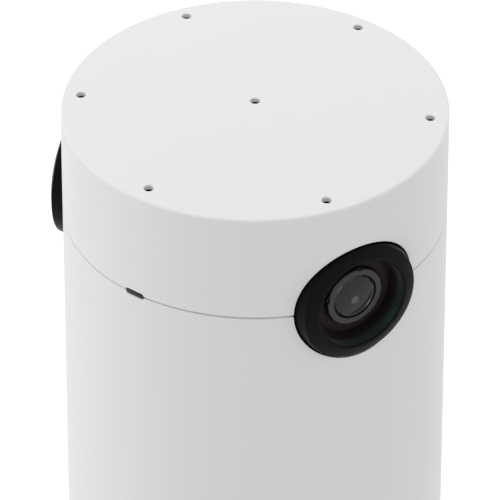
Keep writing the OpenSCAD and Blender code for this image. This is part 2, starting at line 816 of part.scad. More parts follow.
module head_frame() color("#8c8e90")
  difference() {
    union() {
      translate([0, 0, head_frame_z]) cylinder(r = rail_r, h = frame_t);
      at_head_screws() translate([0, 0, head_frame_z + frame_t / 2])
        cylinder(r = head_post_r, h = head_post_z1 - head_frame_z - frame_t / 2, $fn = 48);
      for (side = [left, right]) at_lens(side) {
        translate([-bracket_w / 2, head_frame_z + frame_t / 2 - seam_z, bracket_front - bracket_t])
          cube([bracket_w, seam_z + bracket_rise - head_frame_z - frame_t / 2, bracket_t]);
        camera_screw_places() translate([0, 0, camera_board_front])
          cylinder(r = camera_standoff_r, h = bracket_front - bracket_t / 2 - camera_board_front, $fn = 48);
      }
      facing(0, seam_z) {
        drop = seam_z - head_frame_z - frame_t / 2;
        translate([-indicator_post_w / 2, -drop,
          led_front - led_size[2] - indicator_board_size[2] - indicator_post_t])
          cube([indicator_post_w, drop + indicator_board_size[1] / 2, indicator_post_t]);
      }
    }
    at_head_screws() {
      translate([0, 0, head_frame_z - over])
        cylinder(r = m25[0] + fit_gap, h = head_post_z1 - head_post_roof - head_frame_z + over, $fn = 48);
      translate([0, 0, head_post_z1 - head_post_roof - over])
        cylinder(r = m25[2] + fit_gap, h = head_post_roof + 2 * over, $fn = 48);
    }
    for (side = [left, right]) at_lens(side) {
      translate([0, 0, bracket_front - 2 * bracket_t]) cylinder(r = lens_window_r, h = 3 * bracket_t);
      camera_screw_places() translate([0, 0, camera_board_front - over])
        cylinder(r = m2[2] + screw_gap, h = m2[3] + over, $fn = 48);
    }
    for (side = [left, right]) rotate([0, 0, side * lens_turn])
      translate([0, -camera_lead_d, head_frame_z - over])
        cylinder(r = 3 * lead_r, h = frame_t + 2 * over, $fn = 48);
    translate([0, mic_lead_y, head_frame_z - over])
      cylinder(r = 3 * lead_r, h = frame_t + 2 * over, $fn = 48);
    top_screw_places() translate([0, 0, head_frame_z - over])
      cylinder(r = m25[2] + fit_gap, h = frame_t + 2 * over, $fn = 48);
  }

module camera_screw_places() {
  for (x = [-camera_screw_at, camera_screw_at], y = [-camera_screw_at, camera_screw_at])
    translate([x, y, 0]) children();
}

module head_screws() color(steel_grey)
  at_head_screws() translate([0, 0, head_post_z1 - head_post_roof]) mirror([0, 0, 1])
    screw([m25[0], m25[1], m25[2], head_post_roof + m25[3]]);

module camera_screws() color(steel_grey)
  for (side = [left, right]) at_lens(side)
    camera_screw_places() translate([0, 0, camera_board_front - small_board_t]) mirror([0, 0, 1]) screw(m2);

module mic_board() color(board_green)
  difference() {
    translate([0, 0, mic_board_z]) cylinder(r = mic_board_r, h = small_board_t);
    at_microphones() translate([0, 0, mic_board_z - over])
      cylinder(r = mic_port_r, h = small_board_t + 2 * over, $fn = 24);
    at_mic_screws() translate([0, 0, mic_board_z - over])
      cylinder(r = m2[2] + fit_gap, h = small_board_t + 2 * over, $fn = 48);
    at_head_screws() translate([0, 0, mic_board_z - over])
      cylinder(r = head_boss_r + slip_gap, h = small_board_t + 2 * over, $fn = 48);
  }

module microphones() color(steel_grey)
  at_microphones() translate([0, 0, mic_board_z - mic_size[2]])
    block([mic_size[1], mic_size[0], mic_size[2]]);

module mic_gaskets() color(rubber_black)
  at_microphones() translate([0, 0, mic_board_z + small_board_t])
    ring(mic_pad_r, mic_pad_bore_r, mic_gasket_t, $fn = 48);

module mic_meshes() color("#8a8a88")
  at_microphones() translate([0, 0, top_inner_z - mic_mesh_t])
    cylinder(r = mic_pad_r, h = mic_mesh_t, $fn = 48);

module mic_screws() color(steel_grey)
  at_mic_screws() translate([0, 0, mic_board_z]) mirror([0, 0, 1])
    screw([m2[0], m2[1], m2[2], top_inner_z - mic_board_z + mic_screw_depth - fit_gap]);

module indicator_window() color("#2c2c2c") facing(0, seam_z) {
  translate([0, 0, pill_rear]) pill(pill_w, pill_h, body_r - pill_rear - fit_gap / 2);
  translate([0, 0, pill_flange_front - pill_flange_t])
    pill(pill_w + 2 * pill_flange_side, pill_h + 2 * pill_flange_side, pill_flange_t);
}

module indicator_board() color(board_green) facing(0, seam_z)
  translate([0, -indicator_board_size[1] / 2, led_front - led_size[2] - indicator_board_size[2]])
    translate([-indicator_board_size[0] / 2, 0, 0]) cube(indicator_board_size);

module indicator_led() color("#f2f2ec") facing(0, seam_z)
  translate([0, 0, led_front - led_size[2]]) block(led_size);

module lens_bezel(side) color(trim_black) at_lens(side)
  rotate_extrude() polygon(concat([
    [baffle_r + fit_gap, bezel_rear], [bezel_flange_r, bezel_rear], [bezel_flange_r,
      bezel_rear + bezel_flange_t],
    [bezel_side_r, bezel_rear + bezel_flange_t], [bezel_side_r, bezel_side_front],
    [bezel_r, bezel_front - bezel_edge_r], [bezel_r - bezel_edge_r, bezel_front],
    [mouth_r + bezel_edge_r, mouth_front], [mouth_r, mouth_front - bezel_edge_r]], [
    [throat_r, baffle_front], [baffle_r + fit_gap, baffle_front]]));

module lens_baffle(side) color("#191414") at_lens(side)
  translate([0, 0, baffle_front - baffle_t]) ring(baffle_r, baffle_hole_r, baffle_t);

module lens_seal(side) color(rubber_black) at_lens(side)
  translate([0, 0, bracket_front])
    ring(baffle_r, baffle_r - seal_wall, baffle_front - baffle_t - bracket_front);

module lens_barrel(side) color("#3a3839") at_lens(side)
  difference() {
    union() {
      translate([0, 0, lens_rear]) cylinder(r = lens_thread_r, h = lens_front - lens_rear - glass_seat);
      translate([0, 0, lens_head_z]) cylinder(r = lens_head_r, h = lens_head_l);
    }
    translate([0, 0, lens_rear - over]) cylinder(r = lens_bore_r, h = lens_front - lens_rear + 2 * over);
    translate([0, 0, lens_front - glass_seat]) cylinder(r = glass_r + glass_gap, h = glass_seat + over);
  }

function glass_z(r) = lens_front - glass_rim_drop + glass_dome * (1 - pow(r / glass_r, 2));

module front_glass(side) color("#3a3e3d") at_lens(side)
  rotate_extrude() polygon(concat([[0, lens_front - glass_seat], [glass_r, lens_front - glass_seat]],
    [for (i = [0 : glass_steps]) let (r = glass_r * (1 - i / glass_steps)) [r, glass_z(r)]]));

module rear_glass(side) color("#5a6460") at_lens(side)
  translate([0, 0, rear_glass_z]) difference() {
    cylinder(r = lens_bore_r - glass_gap, h = rear_glass_t);
    translate([0, 0, rear_glass_t - rear_glass_rim])
      cylinder(r = lens_bore_r - rear_glass_rim, h = rear_glass_rim + over);
  }

module lens_holder(side) color(trim_black) at_lens(side)
  difference() {
    union() {
      translate([0, 0, camera_board_front]) block([holder_base_w, holder_base_w, holder_base_t]);
      translate([0, 0, camera_board_front])
        cylinder(r = holder_tube_r, h = holder_front - camera_board_front);
    }
    translate([0, 0, camera_board_front - over]) cylinder(r = lens_thread_r + thread_gap, h = holder_front);
    translate([0, 0, camera_board_front - over])
      block([holder_cavity_w, holder_cavity_w, 2 * sensor_t + over]);
  }

module image_sensor(side) color("#2d3a4a") at_lens(side)
  translate([0, 0, camera_board_front]) block([sensor_w, sensor_w, sensor_t]);

module camera_board(side) color(board_green) at_lens(side)
  difference() {
    translate([0, 0, camera_board_front - small_board_t])
      block([camera_board_w, camera_board_w, small_board_t]);
    camera_screw_places() translate([0, 0, camera_board_front - small_board_t - over])
      cylinder(r = m2[2] + fit_gap, h = small_board_t + 2 * over, $fn = 48);
  }

// Where the leads from the head meet the main board
function camera_lead_top(side) = [side * camera_lead_d * sin(lens_turn), -camera_lead_d * cos(lens_turn)];

module wire_connectors() color("#d8d4c4") {
  for (side = [left, right]) at_lens(side)
    translate([0, -camera_connector_drop, camera_lead_d - connector[2] / 2])
      block([connector[0], connector[1], connector[2]]);
  for (x = [camera_lead_top(left)[0], 0, camera_lead_top(right)[0]])
    translate([x - connector[0] / 2, board_lead_y - connector[2] / 2, board_lead_z - connector[1]])
      cube([connector[0], connector[2], connector[1]]);
  translate([data_x - connector[0] / 2, board_lead_y - connector[2] / 2, main_board_z + board_inset / 2])
    cube([connector[0], connector[2], connector[1]]);
  translate([0, mic_lead_y, mic_board_z - connector[2]]) block([connector[0], connector[1], connector[2]]);
  translate([supply_x - connector[0] / 2, supply_y - connector[2] / 2, power_board_z + board_inset / 2])
    cube([connector[0], connector[2], connector[1]]);
  translate([supply_x, supply_y, port_board_z + board_t]) block([connector[0], connector[1], connector[2]]);
  translate([data_x, board_lead_y, port_board_z + board_t]) block([connector[0], connector[1], connector[2]]);
}

module camera_leads() color("#222222")
  for (side = [left, right]) {
    top = camera_lead_top(side);
    lead([[top[0], top[1], seam_z - camera_connector_drop - connector[1] / 2], [top[0], top[1], lead_bend_z],
      [top[0], board_lead_y, lead_bend_z - 2 * connector[1]], [top[0], board_lead_y, board_lead_z]]);
  }

module inner_leads() color("#222222") {
  lead([[0, mic_lead_y, mic_board_z - connector[2]], [0, mic_lead_y, lead_bend_z],
    [0, board_lead_y, lead_bend_z - connector[1]], [0, board_lead_y, board_lead_z]]);
  lead([[supply_x, supply_y, port_board_z + board_t + connector[2]], [supply_x, supply_y,
    power_board_z + board_inset / 2]]);
  lead([[data_x, board_lead_y, port_board_z + board_t + connector[2]], [data_x, board_lead_y,
    main_board_z + board_inset / 2]]);
}

head_shell();
body_sleeve();
base_frame();
foot();
foot_pad();
ballast_ring();
ballast_screws();
tripod_insert();
mount_inserts();
head_frame();
head_screws();
mic_board();
microphones();
mic_gaskets();
mic_meshes();
mic_screws();
indicator_window();
indicator_board();
indicator_led();
core_chassis();
frame_screws();
main_board();
processor();
thermal_pad();
shield_can();
memory_chips();
board_screws();
power_board();
transformer();
capacitors();
port_board();
network_jack();
usb_socket();
reset_button();
reset_switch();
lock_plate();
wire_connectors();
camera_leads();
inner_leads();
camera_screws();
lens_bezel(right);  // lens_bezel_right
lens_baffle(right);  // lens_baffle_right
lens_seal(right);  // lens_seal_right
lens_barrel(right);  // lens_barrel_right
front_glass(right);  // front_glass_right
rear_glass(right);  // rear_glass_right
lens_holder(right);  // lens_holder_right
image_sensor(right);  // image_sensor_right
camera_board(right);  // camera_board_right
lens_bezel(left);  // lens_bezel_left
lens_baffle(left);  // lens_baffle_left
lens_seal(left);  // lens_seal_left
lens_barrel(left);  // lens_barrel_left
front_glass(left);  // front_glass_left
rear_glass(left);  // rear_glass_left
lens_holder(left);  // lens_holder_left
image_sensor(left);  // image_sensor_left
camera_board(left);  // camera_board_left
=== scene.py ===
"""Looks of the conference camera: a white tower with two black-rimmed lenses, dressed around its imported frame.

Everything is in metres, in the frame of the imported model: the table is z = 0, the indicator faces -Y. The shells,
lens units, indicator and microphone holes are modelled here with soft edges, in place of their nodes. All other
nodes keep their mesh and get a finish.
"""

import logging
import math
from dataclasses import dataclass
from enum import Enum
from typing import ClassVar, Iterable, Optional, Sequence, Union

import bmesh
import bpy
from mathutils import Matrix, Vector

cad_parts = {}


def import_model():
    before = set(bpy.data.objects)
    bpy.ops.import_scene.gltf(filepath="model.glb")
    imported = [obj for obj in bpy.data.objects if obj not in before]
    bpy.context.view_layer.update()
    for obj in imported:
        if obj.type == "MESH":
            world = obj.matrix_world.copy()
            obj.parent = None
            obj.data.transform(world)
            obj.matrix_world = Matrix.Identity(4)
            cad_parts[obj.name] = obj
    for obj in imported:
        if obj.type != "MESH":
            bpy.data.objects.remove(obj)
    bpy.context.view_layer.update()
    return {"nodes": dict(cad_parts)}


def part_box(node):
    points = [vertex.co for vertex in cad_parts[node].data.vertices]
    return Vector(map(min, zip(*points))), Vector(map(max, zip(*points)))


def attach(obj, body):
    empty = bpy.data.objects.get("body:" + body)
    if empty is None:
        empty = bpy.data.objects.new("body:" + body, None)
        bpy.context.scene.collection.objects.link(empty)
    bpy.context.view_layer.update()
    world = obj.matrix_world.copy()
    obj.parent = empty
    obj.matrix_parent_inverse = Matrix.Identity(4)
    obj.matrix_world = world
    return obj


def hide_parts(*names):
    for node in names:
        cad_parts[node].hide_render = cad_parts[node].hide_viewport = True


log = logging.getLogger("conference_camera")

MM = 0.001
TOWER = "tower"
# A point nearer to the axis than this is on it.
ON_AXIS = 1e-7
# An edge that bends by more than this stays sharp.
SHARP_BEND = math.radians(32)
# How far a cutter reaches past what it cuts.
BEYOND = 4 * MM

Profile = list[tuple[float, float]]
Colour = tuple[float, float, float, float]


class Side(Enum):
    """The two cameras, as turns from the indicator: right is +X."""

    RIGHT = 1
    LEFT = -1

    @property
    def suffix(self) -> str:
        """Ending of this side's node names."""
        return self.name.lower()


class Pattern(Enum):
    """How a surface was finished, as the scale that draws its grain out: under 1 is longer along that axis."""

    MOULDED = (1, 1, 1)
    TURNED = (0.12, 0.12, 1)
    BRUSHED = (1, 1, 0.04)
    POLISHED = (0.2, 0.2, 0.2)


def linear(colour: str) -> Colour:
    """Turns an sRGB hex colour, such as "#e9e9e7", to linear red, green and blue, with an alpha of 1."""
    parts = [int(colour[i:i + 2], 16) / 255 for i in (1, 3, 5)]
    return (*[c / 12.92 if c <= 0.04045 else ((c + 0.055) / 1.055) ** 2.4 for c in parts], 1.0)


def add_node(tree: bpy.types.NodeTree, kind: str, settings: Optional[dict] = None,
             links: Optional[dict] = None) -> bpy.types.Node:
    """Adds a node with its settings and links.

    Args:
        tree: the tree it goes into.
        kind: the node's type name.
        settings: values by name; a name or number that is an input's sets it, any other the node's property.
        links: sockets that feed this node's inputs, by the input's name or number.

    Returns:
        The node.
    """
    node = tree.nodes.new(kind)
    for name, value in (settings or {}).items():
        if isinstance(name, int) or name in node.inputs:
            node.inputs[name].default_value = value
        else:
            setattr(node, name, value)
    for name, socket in (links or {}).items():
        tree.links.new(socket, node.inputs[name])
    return node


def empty_tree(owner: Union[bpy.types.Material, bpy.types.World]) -> bpy.types.NodeTree:
    """Turns on the nodes of a material or a world, and clears them.

    Args:
        owner: the material or the world.

    Returns:
        Its tree.
    """
    owner.use_nodes = True
    owner.node_tree.nodes.clear()
    return owner.node_tree


@dataclass(frozen=True)
class Finish:
    """A material: what the real one is, and how its surface was made. Names in _mm are millimetres."""

    name: str
    colour: str
    roughness: float = 0.5
    metallic: float = 0.0
    ior: float = 1.5
    specular: float = 0.5
    specular_tint: str = "#ffffff"
    pattern: Pattern = Pattern.MOULDED
    grain_mm: float = 0.4
    bump_mm: float = 0.004
    roughness_spread: float = 0.06
    colour_spread: float = 0.02

    def shader(self, tree: bpy.types.NodeTree) -> bpy.types.Node:
        """Adds the Principled shader with this finish's even values.

        Args:
            tree: the material's tree.

        Returns:
            The shader. A metal's keeps its default IOR.
        """
        settings = {
            "Base Color": linear(self.colour), "Roughness": self.roughness, "Metallic": self.metallic,
            "Specular IOR Level": self.specular, "Specular Tint": linear(self.specular_tint),
        }
        if not self.metallic:
            settings["IOR"] = self.ior
        return add_node(tree, "ShaderNodeBsdfPrincipled", settings)

    def grain(self, tree: bpy.types.NodeTree) -> bpy.types.NodeSocket:
        """Adds the noise of the surface's pattern, at its real size.

        Args:
            tree: the material's tree.

        Returns:
            The noise's value, from 0 to 1.
        """
        place = add_node(tree, "ShaderNodeTexCoord")
        scaled = add_node(tree, "ShaderNodeMapping", {"Scale": self.pattern.value},
                          {"Vector": place.outputs["Object"]})
        noise = add_node(tree, "ShaderNodeTexNoise",
                         {"Scale": 1 / (self.grain_mm * MM), "Detail": 3.0, "Roughness": 0.6},
                         {"Vector": scaled.outputs["Vector"]})
        return noise.outputs["Fac"]

    def material(self) -> bpy.types.Material:
        """Builds the material once, with its grain in colour, roughness and bump.

        Returns:
            The material, the same one each time.
        """
        known = bpy.data.materials.get(self.name)
        if known:
            return known
        made = bpy.data.materials.new(self.name)
        tree = empty_tree(made)
        shader = self.shader(tree)
        grain = self.grain(tree)
        # A colour Mix node: input 0 is its factor, 6 and 7 are its colours, output 2 is the mixed colour.
        tone = add_node(tree, "ShaderNodeMix", {
            "data_type": "RGBA", 6: linear(self.colour), 7: self.second_tone()}, {0: self.spread(tree, grain)})
        tree.links.new(tone.outputs[2], shader.inputs["Base Color"])
        if self.roughness_spread:
            rough = add_node(tree, "ShaderNodeMapRange", {
                "To Min": max(self.roughness - self.roughness_spread, 0.0),
                "To Max": min(self.roughness + self.roughness_spread, 1.0)}, {"Value": grain})
            tree.links.new(rough.outputs["Result"], shader.inputs["Roughness"])
        if self.bump_mm:
            bump = add_node(tree, "ShaderNodeBump", {"Strength": 1.0, "Distance": self.bump_mm * MM},
                            {"Height": grain})
            tree.links.new(bump.outputs["Normal"], shader.inputs["Normal"])
        add_node(tree, "ShaderNodeOutputMaterial", links={"Surface": shader.outputs["BSDF"]})
        return made

    def second_tone(self) -> Colour:
        """The darker colour that the grain turns to where it is high."""
        keep = 1 - self.colour_spread * 2
        return (*[c * keep for c in linear(self.colour)[:3]], 1.0)

    def spread(self, tree: bpy.types.NodeTree, grain: bpy.types.NodeSocket) -> bpy.types.NodeSocket:
        """Adds the ramp from the grain to how much of the second tone shows."""
        ramp = add_node(tree, "ShaderNodeMapRange", {"From Min": 0.35, "From Max": 0.65}, {"Value": grain})
        return ramp.outputs["Result"]


@dataclass(frozen=True)
class CoatedGlass(Finish):
    """Dark coated glass with a pale disc painted in it as a reflection, placed in the piece's own UV map, in
    millimetres.
    """

    # A pale soft disc, a little below the middle, painted into the glass's colour: a painted reflection.
    pupil: str = "#5b5e5c"
    pupil_radius: float = 0.93
    pupil_edge: float = 0.16
    pupil_drop: float = 0.8
    map_name: str = "lens_plane"

    def second_tone(self) -> Colour:
        """The pale grey of the painted reflection."""
        return linear(self.pupil)

    def spread(self, tree: bpy.types.NodeTree, grain: bpy.types.NodeSocket) -> bpy.types.NodeSocket:
        """Adds the soft-edged disc of the painted reflection, a little below the middle of the lens.

        Args:
            tree: the material's tree.
            grain: the grain, which doesn't show in the polished glass.

        Returns:
            1 inside the painted reflection and 0 outside it.
        """
        plane = add_node(tree, "ShaderNodeUVMap", {"uv_map": self.map_name})
        centred = add_node(tree, "ShaderNodeMapping", {"Location": (0, self.pupil_drop, 0)},
                           {"Vector": plane.outputs["UV"]})
        reach = add_node(tree, "ShaderNodeVectorMath", {"operation": "LENGTH"}, {0: centred.outputs["Vector"]})
        disc = add_node(tree, "ShaderNodeMapRange", {
            "interpolation_type": "SMOOTHSTEP", "From Min": self.pupil_radius + self.pupil_edge,
            "From Max": self.pupil_radius - self.pupil_edge}, {"Value": reach.outputs["Value"]})
        return disc.outputs["Result"]


# White PC/ABS, moulded against a fine spark-eroded tool: an even satin with no visible sparkle.
SHELL_WHITE = Finish("abs_white_spark_moulded", "#ebebeb", roughness=0.65, specular=0.25, grain_mm=0.35,
                     bump_mm=0.006, roughness_spread=0.05, colour_spread=0.006)
# Dark grey PC/ABS with a coarser moulded grain, so it looks dull: the base frame and the foot.
FRAME_GREY = Finish("abs_dark_grey_moulded", "#3b3c3d", roughness=0.6, specular=0.4, grain_mm=0.5, bump_mm=0.02)
# Silicone rubber, matt and slightly dusty.
PAD_RUBBER = Finish("silicone_rubber_matt", "#202020", roughness=0.85, specular=0.3, grain_mm=0.8, bump_mm=0.03)
# Black PC with a satin face: nearly black, with a soft sheen on its rounded edge.
BEZEL_BLACK = Finish("pc_black_satin_moulded", "#070707", roughness=0.38, specular=0.06, grain_mm=0.3,
                     bump_mm=0.003, roughness_spread=0.05)
# Inside of the lens funnel: smooth black with an anti-glare coat that glints dark green.
FUNNEL_BLACK = Finish("pc_black_antiglare_coated", "#1c1818", roughness=0.32, specular=0.19,
                      specular_tint="#5cb59a", grain_mm=1.5, bump_mm=0.0, roughness_spread=0.03)
# Floor of the funnel: flocked brown-black plastic that swallows light.
BAFFLE_BROWN = Finish("pc_brown_black_flocked", "#181213", roughness=0.7, specular=0.25,
                      specular_tint="#ffe9e6", grain_mm=0.25, bump_mm=0.01)
# Lens barrel: aluminium, turned and black anodised, which leaves a dark grey with a faint turned sheen.
BARREL_GREY = Finish("lens_barrel_black_anodised", "#1d1b1b", roughness=0.3, specular=0.35, grain_mm=0.2,
                     bump_mm=0.002, pattern=Pattern.TURNED)
# The barrel's spanner notches, in a paler metal than the barrel: a painted glint, which being metal shines most
# where it faces the light.
NOTCH_PAINTED_GLINT_METAL = Finish("lens_barrel_milled", "#77777a", roughness=0.35, metallic=1.0, grain_mm=0.2, bump_mm=0.004)
# Front element: polished optical glass, coated, so it shows one even dark tone, with a pale disc painted in it as a
# reflection.
LENS_GLASS = CoatedGlass("optical_glass_coated", "#2e3230", roughness=0.1, specular=0.14, grain_mm=4.0,
                         bump_mm=0.0, roughness_spread=0.0, pattern=Pattern.POLISHED)
# Its ground and polished rim, which catches the light in two thin arcs.
GLASS_RIM = Finish("optical_glass_ground_rim", "#262a28", roughness=0.2, specular=0.42, grain_mm=2.0,
                   bump_mm=0.0, roughness_spread=0.02, pattern=Pattern.POLISHED)
# The same glass without the pupil: the rear elements.
INNER_GLASS = Finish("optical_glass_dark_coated", "#202423", roughness=0.2, specular=0.3,
                     specular_tint="#d6e8df", grain_mm=3.0, bump_mm=0.0, roughness_spread=0.02,
                     pattern=Pattern.POLISHED)
# Smoked polycarbonate, polished: the indicator's window, dark while the light is off.
WINDOW_SMOKE = Finish("pc_smoked_polished", "#1f1f1f", roughness=0.3, specular=0.24, grain_mm=1.0, bump_mm=0.0,
                      roughness_spread=0.03, pattern=Pattern.POLISHED)
# Acoustic mesh, woven of fine polyester: a matt grey.
MESH_GREY = Finish("polyester_mesh_woven", "#6d6d6b", roughness=0.8, specular=0.3, grain_mm=0.12, bump_mm=0.01)
# Aluminium, die cast and bead blasted: pale, with a soft grainy shine.
CAST_ALUMINIUM = Finish("aluminium_cast_blasted", "#b9babb", roughness=0.45, metallic=1.0, grain_mm=0.3,
                        bump_mm=0.02)
# Steel, zinc plated, with a slight drawn grain: the ballast, the screws and the lock plate.
ZINC_STEEL = Finish("steel_zinc_plated", "#b4b5b8", roughness=0.35, metallic=1.0, grain_mm=0.6, bump_mm=0.004,
                    pattern=Pattern.BRUSHED)
# Tin-plated steel sheet, the brightest of the metals: shielding can, jacks and microphone cans.
TIN_STEEL = Finish("steel_sheet_tin_plated", "#c4c4c2", roughness=0.28, metallic=1.0, grain_mm=1.2, bump_mm=0.002)
# Brass, turned: a warm yellow with rings from the tool.
TURNED_BRASS = Finish("brass_turned", "#c9a254", roughness=0.3, metallic=1.0, grain_mm=0.25, bump_mm=0.006,
                      pattern=Pattern.TURNED)
# Glass-fibre board under green solder mask: glossy, with uneven depth of colour.
BOARD_GREEN = Finish("fibreglass_solder_mask", "#1d4a31", roughness=0.35, specular=0.5, grain_mm=0.7,
                     bump_mm=0.004, colour_spread=0.08)
# Epoxy, moulded over a chip: a dull near-black.
CHIP_EPOXY = Finish("epoxy_moulded", "#232324", roughness=0.6, grain_mm=0.15, bump_mm=0.006)
# Nylon, moulded: the ivory of the connectors.
NYLON_IVORY = Finish("nylon_ivory_moulded", "#d8d3c2", roughness=0.5, grain_mm=0.4, bump_mm=0.004)
# PVC, extruded: the satin black sheath of the inner leads.
SHEATH_BLACK = Finish("pvc_black_extruded", "#1a1a1a", roughness=0.45, grain_mm=0.8, bump_mm=0.004)
# Silicone filled with ceramic: the chalky blue-grey of the thermal pad.
PAD_BLUE_GREY = Finish("silicone_filled_sheet", "#8793a3", roughness=0.8, grain_mm=0.2, bump_mm=0.01)
# Acetal, moulded: the waxy grey of the reset button.
BUTTON_GREY = Finish("acetal_grey_moulded", "#b9b9b7", roughness=0.45, grain_mm=0.3, bump_mm=0.004)
# Closed-cell foam, die cut: the dead black of the gaskets and dust seals.
FOAM_BLACK = Finish("foam_black_die_cut", "#161616", roughness=0.95, specular=0.2, grain_mm=0.3, bump_mm=0.05)


def lathe(profile: Profile, segments: int, closed: bool = True) -> bmesh.types.BMesh:
    """Turns a profile round Z.

    Args:
        profile: radius and height of each point, in metres.
        segments: how many steps make the turn.
        closed: whether the last point joins the first.

    Returns:
        The mesh, with its poles merged and its normals outward.
    """
    made = bmesh.new()
    rings = []
    for radius, height in profile:
        count = 1 if radius < ON_AXIS else segments
        rings.append([made.verts.new((radius * math.cos(2 * math.pi * i / segments),
                                      radius * math.sin(2 * math.pi * i / segments), height))
                      for i in range(count)])
    pairs = list(zip(rings, rings[1:])) + ([(rings[-1], rings[0])] if closed else [])
    for low, high in pairs:
        for i in range(segments):
            j = (i + 1) % segments
            corners = [low[i % len(low)], low[j % len(low)], high[j % len(high)], high[i % len(high)]]
            unique = list(dict.fromkeys(corners))
            if len(unique) > 2:
                made.faces.new(unique)
    bmesh.ops.recalc_face_normals(made, faces=made.faces)
    return made


def arc(centre: tuple[float, float], radius: float, start: float, end: float, steps: int) -> Profile:
    """Points of an arc in a profile, from one angle to another, in degrees."""
    return [(centre[0] + radius * math.cos(math.radians(start + (end - start) * i / steps)),
             centre[1] + radius * math.sin(math.radians(start + (end - start) * i / steps)))
            for i in range(steps + 1)]


def block(size: tuple[float, float, float], place: Matrix) -> bmesh.types.BMesh:
    """Makes a box.

    Args:
        size: its length along x, y and z.
        place: where its middle goes, and how it is turned.

    Returns:
        The mesh.
    """
    made = bmesh.new()
    bmesh.ops.create_cube(made, size=1.0)
    made.transform(place @ Matrix.Diagonal((*size, 1)))
    return made


def facing(turn: float, height: float) -> Matrix:
    """Frame with z outward at a turn from the indicator, y up and x round the tower, at that height."""
    return (Matrix.Translation((0, 0, height)) @ Matrix.Rotation(math.radians(turn), 4, "Z")
            @ Matrix.Rotation(math.radians(90), 4, "X"))


def linked(name: str, data: bpy.types.ID) -> bpy.types.Object:
    """Puts data into the scene as an object.

    Args:
        name: the object's name.
        data: its mesh, camera or light.

    Returns:
        The object, at the origin.
    """
    made = bpy.data.objects.new(name, data)
    bpy.context.scene.collection.objects.link(made)
    return made


def smooth(mesh: bpy.types.Mesh) -> None:
    """Shades a mesh smooth but for its sharp edges."""
    mesh.shade_smooth()
    mesh.set_sharp_from_angle(angle=SHARP_BEND)


def to_object(made: bmesh.types.BMesh, name: str, finishes: Sequence[Finish],
              place: Optional[Matrix] = None) -> bpy.types.Object:
    """Turns a bmesh into an object at the origin, with its place in its mesh.

    Args:
        made: the mesh, which is freed.
        name: the piece's name.
        finishes: its materials, in the order of its faces' material numbers.
        place: where the mesh goes.

    Returns:
        The object, smooth but for its sharp edges.
    """
    if place is not None:
        made.transform(place)
    mesh = bpy.data.meshes.new(name)
    made.to_mesh(mesh)
    made.free()
    for finish in finishes:
        mesh.materials.append(finish.material())
    smooth(mesh)
    return linked(name, mesh)


def applied(piece: bpy.types.Object) -> bpy.types.Mesh:
    """Applies a piece's modifiers and removes them.

    Args:
        piece: the object, which keeps its old mesh.

    Returns:
        The new mesh.
    """
    graph = bpy.context.evaluated_depsgraph_get()
    mesh = bpy.data.meshes.new_from_object(piece.evaluated_get(graph), depsgraph=graph)
    piece.modifiers.clear()
    return mesh


def cut(piece: bpy.types.Object, cutters: Iterable[bpy.types.Object]) -> None:
    """Cuts shapes out of a piece.

    Args:
        piece: the object, which gets the cut mesh.
        cutters: the shapes, which are then removed.
    """
    shapes = list(cutters)
    for shape in shapes:
        modifier = piece.modifiers.new("cut", "BOOLEAN")
        modifier.operation = "DIFFERENCE"
        modifier.solver = "EXACT"
        modifier.object = shape
    old = piece.data
    piece.data = applied(piece)
    piece.data.name = piece.name
    bpy.data.meshes.remove(old)
    for shape in shapes:
        bpy.data.objects.remove(shape)


def declare(piece: bpy.types.Object, slot: str, *nodes: str) -> bpy.types.Object:
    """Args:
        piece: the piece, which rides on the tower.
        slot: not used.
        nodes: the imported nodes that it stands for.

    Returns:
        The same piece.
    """
    if nodes:
        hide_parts(*nodes)
    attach(piece, TOWER)
    return piece


@dataclass
class Surface:
    """A smooth surface of revolution round Z, whose true normals a cut mesh keeps.

    The profile has the radius and height of each point, with the outside on the right of its direction. A face
    that bends away by `corner` degrees belongs to a cut. A point is on the surface when it is `near` to it.
    """

    profile: Profile
    corner: float = 30.0
    near: float = 0.004 * MM

    def __post_init__(self) -> None:
        """Works out the normal at each point of the profile."""
        spans = [Vector((r1 - r0, z1 - z0)) for (r0, z0), (r1, z1) in zip(self.profile, self.profile[1:])]
        sides = [Vector((span.y, -span.x)) for span in spans]
        joined = [sides[0]] + [a + b for a, b in zip(sides, sides[1:])] + [sides[-1]]
        self.normals = [side.normalized() for side in joined]
        self.least_dot = math.cos(math.radians(self.corner))

    def normal(self, point: Vector, flat: Vector) -> Optional[Vector]:
        """True normal at a point of the surface.

        Args:
            point: the point.
            flat: the flat normal of the face it belongs to.

        Returns:
            The smooth normal, or None where the point isn't on the surface or the face belongs to a cut.
        """
        radius = math.hypot(point.x, point.y)
        if radius < ON_AXIS:
            return None
        out = Vector((point.x / radius, point.y / radius, 0))
        best: Optional[Vector] = None
        closest = self.near
        for i, ((r0, z0), (r1, z1)) in enumerate(zip(self.profile, self.profile[1:])):
            along = Vector((r1 - r0, z1 - z0))
            t = max(0.0, min(1.0, Vector((radius - r0, point.z - z0)).dot(along) / along.length_squared))
            miss = math.hypot(radius - r0 - along.x * t, point.z - z0 - along.y * t)
            section = self.normals[i].lerp(self.normals[i + 1], t).normalized()
            true = out * section.x + Vector((0, 0, section.y))
            if miss < closest and true.dot(flat) > self.least_dot:
                closest, best = miss, true
        return best

    def shade(self, piece: bpy.types.Object) -> None:
        """Gives a piece's corners the true normals, wherever they lie on the surface.

        Args:
            piece: the object, cut or whole.
        """
        mesh = piece.data
        smooth(mesh)
        normals = [Vector(n.vector) for n in mesh.corner_normals]
        for face in mesh.polygons:
            for corner in face.loop_indices:
                point = mesh.vertices[mesh.loops[corner].vertex_index].co
                true = self.normal(point, face.normal)
                if true is not None:
                    normals[corner] = true
        mesh.normals_split_custom_set(normals)


